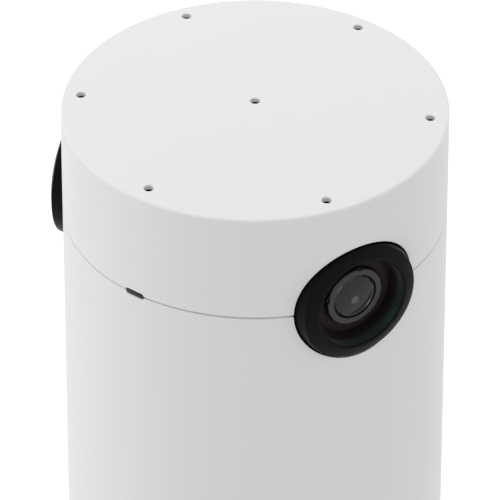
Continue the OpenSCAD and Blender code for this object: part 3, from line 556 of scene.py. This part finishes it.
@dataclass
class Tower:
    """Sizes of the tower that its pieces share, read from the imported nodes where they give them."""

    crown: float = 1.7 * MM
    edge: float = 0.6 * MM
    wall: float = 2.2 * MM
    top_wall: float = 2.0 * MM
    seam_gap: float = 0.25 * MM
    seam_open: float = 0.47 * MM
    lens_turn: float = 70.0
    segments: int = 256

    def __post_init__(self) -> None:
        """Reads radius, height and seam from the sleeve and the head shell."""
        low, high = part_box("body_sleeve")
        self.radius = (high.x - low.x) / 2
        self.sleeve_low = low.z
        self.seam = high.z + self.seam_gap / 2
        self.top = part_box("head_shell")[1].z
        self.edge_height = self.top - self.crown
        self.inner = self.radius - self.wall

    def crown_height(self, radius: float) -> float:
        """Height of the domed top at a distance from the axis."""
        return self.top - self.crown * (radius / (self.radius - self.edge)) ** 2


@dataclass
class MicrophoneHoles:
    """The ring of microphone holes in the top, with one in the middle, and what lies under them.

    Each hole is a short bore of `radius` with a flared `rim`, down to `depth`, above a wider `recess` for the
    foam. A mesh disc has a weld ring from `weld_top` of its radius outward, on a slope from `weld_foot`, and is
    `mesh_share` as thick as the ring.
    """

    tower: Tower
    count: int = 6
    circle: float = 37.5 * MM
    turn: float = 1.4
    radius: float = 1.07 * MM
    rim: float = 0.1 * MM
    depth: float = 1.1 * MM
    recess: float = 1.6 * MM
    foam_bore_gap: float = 0.01 * MM
    foam_side_gap: float = 0.04 * MM
    weld_top: float = 0.8
    weld_foot: float = 0.75
    mesh_share: float = 0.6
    sides: int = 40

    def scatter(self) -> bpy.types.NodeTree:
        """Builds the node tree that sets copies of an object on a circle and in its middle.

        Returns:
            The tree, with inputs for the object, the count, the circle's radius, the height and the material.
        """
        tree = bpy.data.node_groups.new("ring_of_holes", "GeometryNodeTree")
        face = tree.interface
        for name, kind in (("Shape", "NodeSocketObject"), ("Count", "NodeSocketInt"),
                           ("Circle radius", "NodeSocketFloat"), ("Height", "NodeSocketFloat"),
                           ("Material", "NodeSocketMaterial")):
            face.new_socket(name, in_out="INPUT", socket_type=kind)
        face.new_socket("Geometry", in_out="OUTPUT", socket_type="NodeSocketGeometry")
        source = add_node(tree, "NodeGroupInput").outputs
        circle = add_node(tree, "GeometryNodeMeshCircle", links={
            "Vertices": source["Count"], "Radius": source["Circle radius"]})
        middle = add_node(tree, "GeometryNodeMeshLine", {"Count": 1})
        points = add_node(tree, "GeometryNodeJoinGeometry")
        for part in (circle, middle):
            tree.links.new(part.outputs["Mesh"], points.inputs[0])
        lift = add_node(tree, "ShaderNodeCombineXYZ", links={"Z": source["Height"]})
        raised = add_node(tree, "GeometryNodeSetPosition", links={
            "Geometry": points.outputs[0], "Offset": lift.outputs[0]})
        shape = add_node(tree, "GeometryNodeObjectInfo", links={"Object": source["Shape"]})
        copies = add_node(tree, "GeometryNodeInstanceOnPoints", links={
            "Points": raised.outputs[0], "Instance": shape.outputs["Geometry"]})
        real = add_node(tree, "GeometryNodeRealizeInstances", links={"Geometry": copies.outputs[0]})
        dressed = add_node(tree, "GeometryNodeSetMaterial", links={
            "Geometry": real.outputs[0], "Material": source["Material"]})
        add_node(tree, "NodeGroupOutput", links={0: dressed.outputs[0]})
        return tree

    def copies(self, name: str, profile: Profile, height: float, finish: Finish,
               closed: bool = False) -> bpy.types.Object:
        """Sets copies of a turned shape on the holes' places.

        Args:
            name: the new object's name.
            profile: the shape's profile.
            height: how far up the copies go.
            finish: their material.
            closed: whether the profile's last point joins its first.

        Returns:
            One plain mesh object with all the copies.
        """
        shape = to_object(lathe(profile, self.sides, closed), "hole_shape", [finish])
        holder = linked(name, bpy.data.meshes.new(name))
        modifier = holder.modifiers.new("ring", "NODES")
        modifier.node_group = self.scatter()
        values = {"Shape": shape, "Count": self.count, "Circle radius": self.circle, "Height": height,
                  "Material": finish.material()}
        for item in modifier.node_group.interface.items_tree:
            if item.in_out == "INPUT":
                modifier[item.identifier] = values[item.name]
        holder.data = applied(holder)
        bpy.data.objects.remove(shape)
        holder.data.transform(Matrix.Rotation(math.radians(self.turn - 90), 4, "Z"))
        return holder

    def raise_middle(self, piece: bpy.types.Object, above: float) -> None:
        """Lifts the middle copy to the crown's higher middle.

        Args:
            piece: the copies.
            above: the height from which a vertex is lifted.
        """
        rise = self.tower.top - self.tower.crown_height(self.circle)
        for corner in piece.data.vertices:
            if math.hypot(corner.co.x, corner.co.y) < self.circle / 2 and corner.co.z > above:
                corner.co.z += rise

    def cutters(self) -> bpy.types.Object:
        """Makes the holes as solid pins, each with a flare for the hole's rim.

        Returns:
            The pins, as one object.
        """
        low = -self.tower.top_wall - BEYOND
        pin: Profile = [(0, low), (self.recess, low), (self.recess, -self.depth), (self.radius, -self.depth),
                        (self.radius, -self.rim), (self.radius + self.rim, 0),
                        (self.radius + self.rim, BEYOND), (0, BEYOND)]
        pins = self.copies("hole_pins", pin, self.tower.crown_height(self.circle), SHELL_WHITE)
        self.raise_middle(pins, 0)
        return pins

    def meshes(self) -> bpy.types.Object:
        """Makes the acoustic meshes under the holes, each a shallow disc with a raised weld ring.

        Returns:
            The piece.
        """
        low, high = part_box("mic_meshes")
        radius = high.y - self.circle * math.cos(math.radians(self.turn))
        rise = high.z - low.z
        thick = rise * self.mesh_share
        disc: Profile = [(0, 0), (radius, 0), (radius, rise), (radius * self.weld_top, rise),
                         (radius * self.weld_foot, thick), (0, thick)]
        return declare(self.copies("microphone_meshes", disc, low.z, MESH_GREY), "mesh_grey", "mic_meshes")

    def foam(self) -> bpy.types.Object:
        """Makes the black foam tubes between the thin top and the meshes.

        Returns:
            The piece.
        """
        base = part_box("mic_meshes")[1].z
        height = self.tower.crown_height(self.circle) - self.depth - base
        bore, side = self.radius + self.foam_bore_gap, self.recess - self.foam_side_gap
        tube: Profile = [(bore, 0), (side, 0), (side, height), (bore, height)]
        piece = self.copies("microphone_foam", tube, base, FOAM_BLACK, closed=True)
        self.raise_middle(piece, base + height / 2)
        return declare(piece, "gasket_rubber")


@dataclass
class LensUnit:
    """One camera: its bezel with the funnel, the barrel with its spanner notches, and the glass.

    Rears and fronts are distances from the tower's axis along the lens's. The hole in the shells is coned from
    its rear radius to its front radius, the funnel flares from its throat to its mouth, and the glass sags from
    its front to a small ridge at its rim. Turns are in degrees.
    """

    tower: Tower
    side: Side
    hole_rear_radius: float = 14.8 * MM
    hole_front_radius: float = 14.18 * MM
    bezel_rear: float = 34.2 * MM
    flange_radius: float = 16.4 * MM
    flange: float = 1.3 * MM
    side_radius: float = 14.5 * MM
    side_front: float = 38.2 * MM
    front_radius: float = 13.72 * MM
    front: float = 41.85 * MM
    edge: float = 0.35 * MM
    front_edge_turns: tuple[float, float] = (2, 74)
    mouth_edge_turns: tuple[float, float] = (90, 165)
    edge_steps: int = 5
    mouth_radius: float = 10.6 * MM
    mouth_front: float = 42.8 * MM
    throat_radius: float = 9.2 * MM
    flare_power: float = 3.6
    flare_steps: int = 12
    baffle_front: float = 38.6 * MM
    baffle_radius: float = 12.0 * MM
    head_radius: float = 6.85 * MM
    head_front: float = 39.9 * MM
    head_length: float = 6.0 * MM
    head_edge: float = 0.4 * MM
    head_edge_steps: int = 6
    thread_radius: float = 6.0 * MM
    barrel_rear: float = 24.5 * MM
    bore: float = 4.4 * MM
    seat_gap: float = 0.2 * MM
    seat_depth: float = 1.4 * MM
    seat_chamfer: float = 0.08 * MM
    notches: int = 4
    notch_turn: float = 79.5
    notch_width: float = 1.2 * MM
    notch_depth: float = 0.4 * MM
    glass_radius: float = 5.07 * MM
    glass_front: float = 39.92 * MM
    glass_sag: float = 0.47 * MM
    glass_depth: float = 1.3 * MM
    ridge: float = 0.24 * MM
    dome_power: float = 2.2
    dome_steps: int = 20
    segments: int = 160

    def __post_init__(self) -> None:
        """Works out where the unit stands."""
        self.place = facing(self.side.value * self.tower.lens_turn, self.tower.seam)

    def name(self, piece: str) -> str:
        """A piece's or node's name with this side's ending."""
        return f"{piece}_{self.side.suffix}"

    def hole_cutter(self) -> bpy.types.Object:
        """Makes the hole through the shells that the bezel stands in.

        Returns:
            The hole, as a solid pin.
        """
        wide, narrow, end = self.hole_rear_radius, self.hole_front_radius, self.front + BEYOND
        pin: Profile = [(0, self.bezel_rear), (wide, self.bezel_rear), (wide, self.side_front),
                        (narrow, self.tower.radius), (narrow, end), (0, end)]
        return to_object(lathe(pin, self.segments, closed=False), self.name("bezel_hole"), [SHELL_WHITE],
                         self.place)

    def bezel(self) -> bpy.types.Object:
        """Makes the flared black ring and the smooth funnel inside it.

        Returns:
            The piece.
        """
        e = self.edge
        flange_front = self.bezel_rear + self.flange
        outside = [(self.baffle_radius, self.bezel_rear), (self.flange_radius, self.bezel_rear),
                   (self.flange_radius, flange_front), (self.side_radius, flange_front),
                   (self.side_radius, self.side_front)]
        front_edge = arc((self.front_radius - e, self.front - e), e, *self.front_edge_turns, self.edge_steps)
        mouth_edge = arc((self.mouth_radius + e, self.mouth_front - e), e, *self.mouth_edge_turns, self.edge_steps)
        flare = self.mouth_radius - self.throat_radius
        depth = self.mouth_front - e - self.baffle_front
        left = [1 - i / self.flare_steps for i in range(1, self.flare_steps + 1)]
        funnel = [(self.throat_radius + flare * part ** self.flare_power, self.baffle_front + depth * part)
                  for part in left]
        made = lathe(outside + front_edge + mouth_edge + funnel + [(self.baffle_radius, self.baffle_front)],
                     self.segments)
        for face in made.faces:
            middle = face.calc_center_median()
            reach = math.hypot(middle.x, middle.y)
            if self.throat_radius - MM < reach < self.mouth_radius and middle.z > self.baffle_front:
                face.material_index = 1
        piece = to_object(made, self.name("bezel"), [BEZEL_BLACK, FUNNEL_BLACK], self.place)
        return declare(piece, "bezel_black", self.name("lens_bezel"))

    def barrel(self) -> bpy.types.Object:
        """Makes the barrel: a soft-edged front ring with spanner notches, a seat for the glass and a long tail.

        Returns:
            The piece.
        """
        rim, edge, chamfer = self.head_front, self.head_edge, self.seat_chamfer
        shoulder, seat_floor = rim - self.head_length, rim - self.seat_depth
        seat = self.glass_radius + self.seat_gap
        profile: Profile = [
            (self.bore, self.barrel_rear), (self.thread_radius, self.barrel_rear), (self.thread_radius, shoulder),
            (self.head_radius, shoulder),
            *arc((self.head_radius - edge, rim - edge), edge, 0, 90, self.head_edge_steps),
            (seat + chamfer, rim), (seat, rim - chamfer), (seat, seat_floor), (self.bore, seat_floor)]
        piece = to_object(lathe(profile, self.segments), self.name("barrel"), [BARREL_GREY])
        slots = []
        for i in range(self.notches):
            turn = Matrix.Rotation(math.radians(self.notch_turn + 360 * i / self.notches), 4, "Z")
            slot = block((2 * self.notch_depth, self.notch_width, 2 * self.notch_depth),
                         turn @ Matrix.Translation((self.head_radius, 0, rim)))
            # The notch faces take the paler metal, a painted glint.
            slots.append(to_object(slot, "notch", [NOTCH_PAINTED_GLINT_METAL]))
        cut(piece, slots)
        piece.data.transform(self.place)
        smooth(piece.data)
        return declare(piece, "lens_metal", self.name("lens_barrel"))

    def glass(self) -> bpy.types.Object:
        """Makes the front element: a low dome inside a small ridge, with its lens plane as its UV map.

        Returns:
            The piece.
        """
        rim = self.glass_front - self.glass_sag
        back = rim - self.glass_depth
        dome_radius = self.glass_radius - 2 * self.ridge
        side = [(0, back), (self.glass_radius, back), (self.glass_radius, rim),
                (self.glass_radius - self.ridge, rim + self.ridge)]
        left = [1 - i / self.dome_steps for i in range(self.dome_steps + 1)]
        dome = [(dome_radius * part, self.glass_front - self.glass_sag * part ** self.dome_power) for part in left]
        made = lathe(side + dome, self.segments, closed=False)
        plane = made.loops.layers.uv.new(LENS_GLASS.map_name)
        for face in made.faces:
            middle = face.calc_center_median()
            if middle.z > rim and math.hypot(middle.x, middle.y) > dome_radius:
                face.material_index = 1
            for corner in face.loops:
                corner[plane].uv = (corner.vert.co.x / MM, corner.vert.co.y / MM)
        piece = to_object(made, self.name("front_element"), [LENS_GLASS, GLASS_RIM], self.place)
        return declare(piece, "lens_glass", self.name("front_glass"))

    def build(self) -> list[bpy.types.Object]:
        """Makes the unit's pieces."""
        return [self.bezel(), self.barrel(), self.glass()]


@dataclass
class Indicator:
    """The pill-shaped window on the seam, polished and with soft edges, and the light pipe behind it.

    `proud` is how far its face stands out of the tower, `soft` how far its edge is rounded, and `gap` the
    clearance that the shells leave round it.
    """

    tower: Tower
    length: float = 4.75 * MM
    height: float = 1.3 * MM
    gap: float = 0.1 * MM
    proud: float = -0.1 * MM
    soft: float = 0.15 * MM
    rear: float = 34.3 * MM
    flange_front: float = 38.8 * MM
    flange: float = 1.0 * MM
    flange_side: float = 1.4 * MM
    steps: int = 16

    def outline(self, grow: float) -> list[tuple[float, float]]:
        """Works out the outline of the pill.

        Args:
            grow: the margin that it is grown by.

        Returns:
            Its points, counterclockwise.
        """
        radius = self.height / 2 + grow
        reach = (self.length - self.height) / 2
        points = []
        for end, start in ((1, -90), (-1, 90)):
            for i in range(self.steps + 1):
                angle = math.radians(start + 180 * i / self.steps)
                points.append((end * reach + radius * math.cos(angle), radius * math.sin(angle)))
        return points

    def stack(self, levels: Sequence[tuple[float, float]]) -> bmesh.types.BMesh:
        """Joins pill outlines into one closed solid.

        Args:
            levels: each outline's margin and its distance from the tower's axis.

        Returns:
            The mesh.
        """
        made = bmesh.new()
        rings = [[made.verts.new((x, y, z)) for x, y in self.outline(grow)] for grow, z in levels]
        for low, high in zip(rings, rings[1:]):
            for i in range(len(low)):
                j = (i + 1) % len(low)
                made.faces.new((low[i], low[j], high[j], high[i]))
        made.faces.new(rings[0][::-1])
        made.faces.new(rings[-1])
        bmesh.ops.recalc_face_normals(made, faces=made.faces)
        return made

    def cutter(self) -> bpy.types.Object:
        """Makes the slot through the shells, as a solid."""
        levels = [(self.gap, self.rear), (self.gap, self.tower.radius + BEYOND)]
        return to_object(self.stack(levels), "pill_slot", [SHELL_WHITE], facing(0, self.tower.seam))

    def build(self) -> bpy.types.Object:
        """Makes the window.

        Returns:
            The piece.
        """
        front, soft = self.tower.radius + self.proud, self.soft
        flange_rear = self.flange_front - self.flange
        levels = [(0, self.rear), (0, flange_rear), (self.flange_side, flange_rear),
                  (self.flange_side, self.flange_front), (0, self.flange_front), (0, front - soft),
                  (-soft / 3, front - soft / 3), (-soft, front)]
        piece = to_object(self.stack(levels), "indicator_lightpipe", [WINDOW_SMOKE], facing(0, self.tower.seam))
        return declare(piece, "window_smoke", "indicator_window")


@dataclass
class Shells:
    """The white head shell and the sleeve below it, which meet at the hairline seam.

    `seam_drop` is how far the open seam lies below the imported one. The head's inner `lip` reaches past the seam
    into the sleeve with a sliding `fit`.
    """

    tower: Tower
    holes: MicrophoneHoles
    lenses: list[LensUnit]
    indicator: Indicator
    seam_edge: float = 0.12 * MM
    seam_edge_steps: int = 4
    seam_drop: float = 0.08 * MM
    lip: float = 1.6 * MM
    lip_height: float = 4.0 * MM
    fit: float = 0.2 * MM
    top_edge_end: float = 86.0
    top_edge_steps: int = 10
    crown_steps: int = 24
    foot_edge: float = 0.6 * MM
    foot_edge_steps: int = 6
    lock_height: float = 27.0 * MM
    lock_size: tuple[float, float] = (7.0 * MM, 3.0 * MM)

    def face_cutters(self) -> list[bpy.types.Object]:
        """Cutters that both shells share."""
        return [lens.hole_cutter() for lens in self.lenses] + [self.indicator.cutter()]

    def head(self) -> bpy.types.Object:
        """Makes the head shell: crowned top, soft outer edge, seven holes and the lip behind the seam.

        Returns:
            The piece.
        """
        t = self.tower
        low = t.seam + t.seam_open / 2 - self.seam_drop
        lip_outer = t.inner - self.fit
        lip_inner = lip_outer - self.lip
        crown_radius = t.radius - t.edge
        inside: Profile = [(0, t.edge_height - t.top_wall), (t.inner, t.edge_height - t.top_wall),
                           (t.inner, low + self.lip_height + self.lip), (lip_inner, low + self.lip_height),
                           (lip_inner, t.seam - self.lip_height), (lip_outer, t.seam - self.lip_height),
                           (lip_outer, low)]
        seam = arc((t.radius - self.seam_edge, low + self.seam_edge), self.seam_edge, -90, 0, self.seam_edge_steps)
        edge = arc((crown_radius, t.edge_height - t.edge), t.edge, 0, self.top_edge_end, self.top_edge_steps)
        reaches = [crown_radius * (1 - i / self.crown_steps) for i in range(1, self.crown_steps + 1)]
        outside = seam + edge + [(reach, t.crown_height(reach)) for reach in reaches]
        piece = to_object(lathe(inside + outside, t.segments, closed=False), "head_cover", [SHELL_WHITE])
        cut(piece, self.face_cutters() + [self.holes.cutters()])
        Surface(outside).shade(piece)
        return declare(piece, "shell_plastic", "head_shell")

    def sleeve(self) -> bpy.types.Object:
        """Makes the sleeve: a plain tube with soft ends, the lens notches and the security slot.

        Returns:
            The piece.
        """
        t = self.tower
        high = t.seam - t.seam_open / 2 - self.seam_drop
        outside = (
            arc((t.radius - self.foot_edge, t.sleeve_low + self.foot_edge), self.foot_edge, -90, 0,
                self.foot_edge_steps)
            + arc((t.radius - self.seam_edge, high - self.seam_edge), self.seam_edge, 0, 90, self.seam_edge_steps))
        profile = [(t.inner, t.sleeve_low)] + outside + [(t.inner, high)]
        piece = to_object(lathe(profile, t.segments), "sleeve_tube", [SHELL_WHITE])
        width, height = self.lock_size
        slot = block((width, 4 * t.wall, height), Matrix.Translation((0, t.radius, self.lock_height)))
        cut(piece, self.face_cutters() + [to_object(slot, "lock_slot", [SHELL_WHITE])])
        Surface(outside).shade(piece)
        return declare(piece, "shell_plastic", "body_sleeve")


@dataclass
class InnerParts:
    """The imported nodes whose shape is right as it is, with the finish of each."""

    nodes: dict[str, bpy.types.Object]

    FINISHES: ClassVar[dict[Finish, tuple[str, ...]]] = {
        FRAME_GREY: ("base_frame", "foot"),
        PAD_RUBBER: ("foot_pad",),
        ZINC_STEEL: ("ballast_ring", "ballast_screws", "head_screws", "mic_screws", "frame_screws", "board_screws",
                     "camera_screws", "lock_plate"),
        TURNED_BRASS: ("tripod_insert", "mount_inserts"),
        CAST_ALUMINIUM: ("head_frame", "core_chassis"),
        BOARD_GREEN: ("mic_board", "indicator_board", "main_board", "power_board", "port_board",
                      "camera_board_right", "camera_board_left"),
        CHIP_EPOXY: ("processor", "memory_chips", "reset_switch", "transformer", "image_sensor_right",
                     "image_sensor_left"),
        TIN_STEEL: ("microphones", "shield_can", "network_jack", "usb_socket", "capacitors"),
        FOAM_BLACK: ("mic_gaskets", "lens_seal_right", "lens_seal_left"),
        NYLON_IVORY: ("wire_connectors", "indicator_led"),
        SHEATH_BLACK: ("camera_leads", "inner_leads"),
        PAD_BLUE_GREY: ("thermal_pad",),
        BUTTON_GREY: ("reset_button",),
        BAFFLE_BROWN: ("lens_baffle_right", "lens_baffle_left"),
        BEZEL_BLACK: ("lens_holder_right", "lens_holder_left"),
        INNER_GLASS: ("rear_glass_right", "rear_glass_left"),
    }

    def dress(self) -> None:
        """Gives each node its finish, and reports it."""
        for finish, names in self.FINISHES.items():
            for name in names:
                mesh = self.nodes[name].data
                mesh.materials.clear()
                mesh.materials.append(finish.material())
                log.info("%s: %s", name, finish.name)


@dataclass(frozen=True)
class Lamp:
    """A wide, soft sun.

    `turn` is its direction round the tower, positive to the camera's right, `height` its height above the
    horizon and `angle` how wide it is seen, all in degrees. `strength` is its irradiance. One that is
    `gloss_only` glints in glossy surfaces, and leaves the matt ones as they are.
    """

    name: str
    turn: float
    height: float
    strength: float
    angle: float
    gloss_only: bool = False


@dataclass
class Studio:
    """Floor, lamps and the camera at the photograph's viewing angle.

    The camera's distance is in tower radii. Its angles are in degrees: azimuth and elevation say where it
    stands, and pitch, yaw and roll where it looks.
    """

    tower: Tower
    azimuth: float = 37.9
    elevation: float = 34.734
    distance: float = 32.581
    pitch: float = 36.025
    yaw: float = -0.0556
    roll: float = 0.0389
    lens: float = 456.2
    sensor: float = 36.0
    clip: tuple[float, float] = (0.05, 100.0)
    lamps: tuple[Lamp, ...] = (
        Lamp("key_soft", turn=-105, height=25, strength=0.90, angle=40),
        Lamp("rim_soft", turn=146, height=15, strength=0.70, angle=40),
        Lamp("front_gloss", turn=-12, height=20, strength=0.50, angle=30, gloss_only=True),
    )
    sky: float = 0.80
    floor_size: float = 40.0
    floor_colour: str = "#d5d5d5"
    floor_glow: float = 0.62
    floor_drop: float = 0.05 * MM

    def camera(self) -> None:
        """Makes the camera from the fitted distance and angles."""
        data = bpy.data.cameras.new("camera")
        data.lens, data.sensor_width = self.lens, self.sensor
        data.clip_start, data.clip_end = self.clip
        made = linked("camera", data)
        elevation, pitch, yaw, roll = (math.radians(v) for v in (self.elevation, self.pitch, self.yaw, self.roll))
        reach = self.distance * self.tower.radius
        spot = Vector((0, -reach * math.cos(elevation), reach * math.sin(elevation)))
        ahead = Vector((math.sin(yaw) * math.cos(pitch), math.cos(yaw) * math.cos(pitch), -math.sin(pitch)))
        across = ahead.cross(Vector((0, 0, 1))).normalized()
        up = across.cross(ahead)
        level = across * math.cos(roll) + up * math.sin(roll)
        raised = up * math.cos(roll) - across * math.sin(roll)
        turned = Matrix((level, raised, -ahead)).transposed().to_4x4()
        placed = Matrix.Rotation(math.radians(self.azimuth), 4, "Z") @ Matrix.Translation(spot) @ turned
        made.matrix_world = Matrix.Translation((0, 0, self.tower.edge_height)) @ placed
        bpy.context.scene.camera = made

    def light(self, lamp: Lamp) -> None:
        """Adds a lamp.

        Args:
            lamp: what it is like.
        """
        data = bpy.data.lights.new(lamp.name, "SUN")
        data.energy, data.angle = lamp.strength, math.radians(lamp.angle)
        made = linked(lamp.name, data)
        made.visible_diffuse = not lamp.gloss_only
        around, above = math.radians(self.azimuth + lamp.turn), math.radians(lamp.height)
        toward = Vector((math.sin(around) * math.cos(above), -math.cos(around) * math.cos(above), math.sin(above)))
        made.rotation_euler = toward.to_track_quat("Z", "Y").to_euler()

    def shown(self, tree: bpy.types.NodeTree) -> bpy.types.NodeSocket:
        """Adds a value that tells the rays that see a thing from those that only light by it.

        Args:
            tree: the material's or world's tree.

        Returns:
            1 for camera, glossy and transmission rays, and 0 for the rest.
        """
        path = add_node(tree, "ShaderNodeLightPath").outputs
        total = add_node(tree, "ShaderNodeMath", {"operation": "ADD"}, {
            0: path["Is Camera Ray"], 1: path["Is Glossy Ray"]})
        return add_node(tree, "ShaderNodeMath", {"operation": "ADD", "use_clamp": True}, {
            0: total.outputs[0], 1: path["Is Transmission Ray"]}).outputs[0]

    def world(self) -> None:
        """Lights the scene evenly, and shows white behind it."""
        world = bpy.data.worlds.new("studio")
        bpy.context.scene.world = world
        tree = empty_tree(world)
        strength = add_node(tree, "ShaderNodeMapRange", {"To Min": self.sky, "To Max": 1.0},
                            {"Value": self.shown(tree)})
        sky = add_node(tree, "ShaderNodeBackground", {"Color": linear("#ffffff")},
                       {"Strength": strength.outputs["Result"]})
        add_node(tree, "ShaderNodeOutputWorld", links={"Surface": sky.outputs[0]})

    def paper(self) -> bpy.types.Material:
        """Builds the floor's material: it shows white, keeps the object's shadow and is clear from below.

        Returns:
            The material.
        """
        made = bpy.data.materials.new("floor_paper_matt")
        tree = empty_tree(made)
        matt = add_node(tree, "ShaderNodeBsdfDiffuse", {"Color": linear(self.floor_colour)})
        glow = add_node(tree, "ShaderNodeMath", {"operation": "MULTIPLY", 1: self.floor_glow},
                        {0: self.shown(tree)})
        light = add_node(tree, "ShaderNodeEmission", links={"Strength": glow.outputs[0]})
        both = add_node(tree, "ShaderNodeAddShader", links={0: matt.outputs[0], 1: light.outputs[0]})
        under = add_node(tree, "ShaderNodeNewGeometry").outputs["Backfacing"]
        clear = add_node(tree, "ShaderNodeBsdfTransparent")
        one_sided = add_node(tree, "ShaderNodeMixShader",
                             links={0: under, 1: both.outputs[0], 2: clear.outputs[0]})
        add_node(tree, "ShaderNodeOutputMaterial", links={"Surface": one_sided.outputs[0]})
        return made

    def floor(self) -> None:
        """Lays the plain pale floor, a hair below the pad."""
        made = bmesh.new()
        bmesh.ops.create_grid(made, x_segments=1, y_segments=1, size=self.floor_size / 2)
        bmesh.ops.translate(made, verts=made.verts, vec=(0, 0, -self.floor_drop))
        mesh = bpy.data.meshes.new("floor")
        made.to_mesh(mesh)
        made.free()
        mesh.materials.append(self.paper())
        linked("floor", mesh)

    def build(self) -> None:
        """Sets up floor, light and camera."""
        self.floor()
        self.world()
        for lamp in self.lamps:
            self.light(lamp)
        self.camera()
        bpy.context.scene.view_settings.view_transform = "Standard"


def main(frame: dict) -> None:
    """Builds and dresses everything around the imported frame, and reports each piece.
    """
    logging.basicConfig(level=logging.INFO, format="%(name)s: %(message)s")
    tower = Tower()
    Studio(tower).build()
    holes = MicrophoneHoles(tower)
    lenses = [LensUnit(tower, side) for side in Side]
    indicator = Indicator(tower)
    shells = Shells(tower, holes, lenses, indicator)
    pieces = [shells.head(), shells.sleeve(), holes.meshes(), holes.foam(), indicator.build()]
    for lens in lenses:
        pieces += lens.build()
    for piece in pieces:
        log.info("%s: %d faces", piece.name, len(piece.data.polygons))
    InnerParts(frame["nodes"]).dress()


if __name__ == "__main__":
    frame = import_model()
    main(frame)
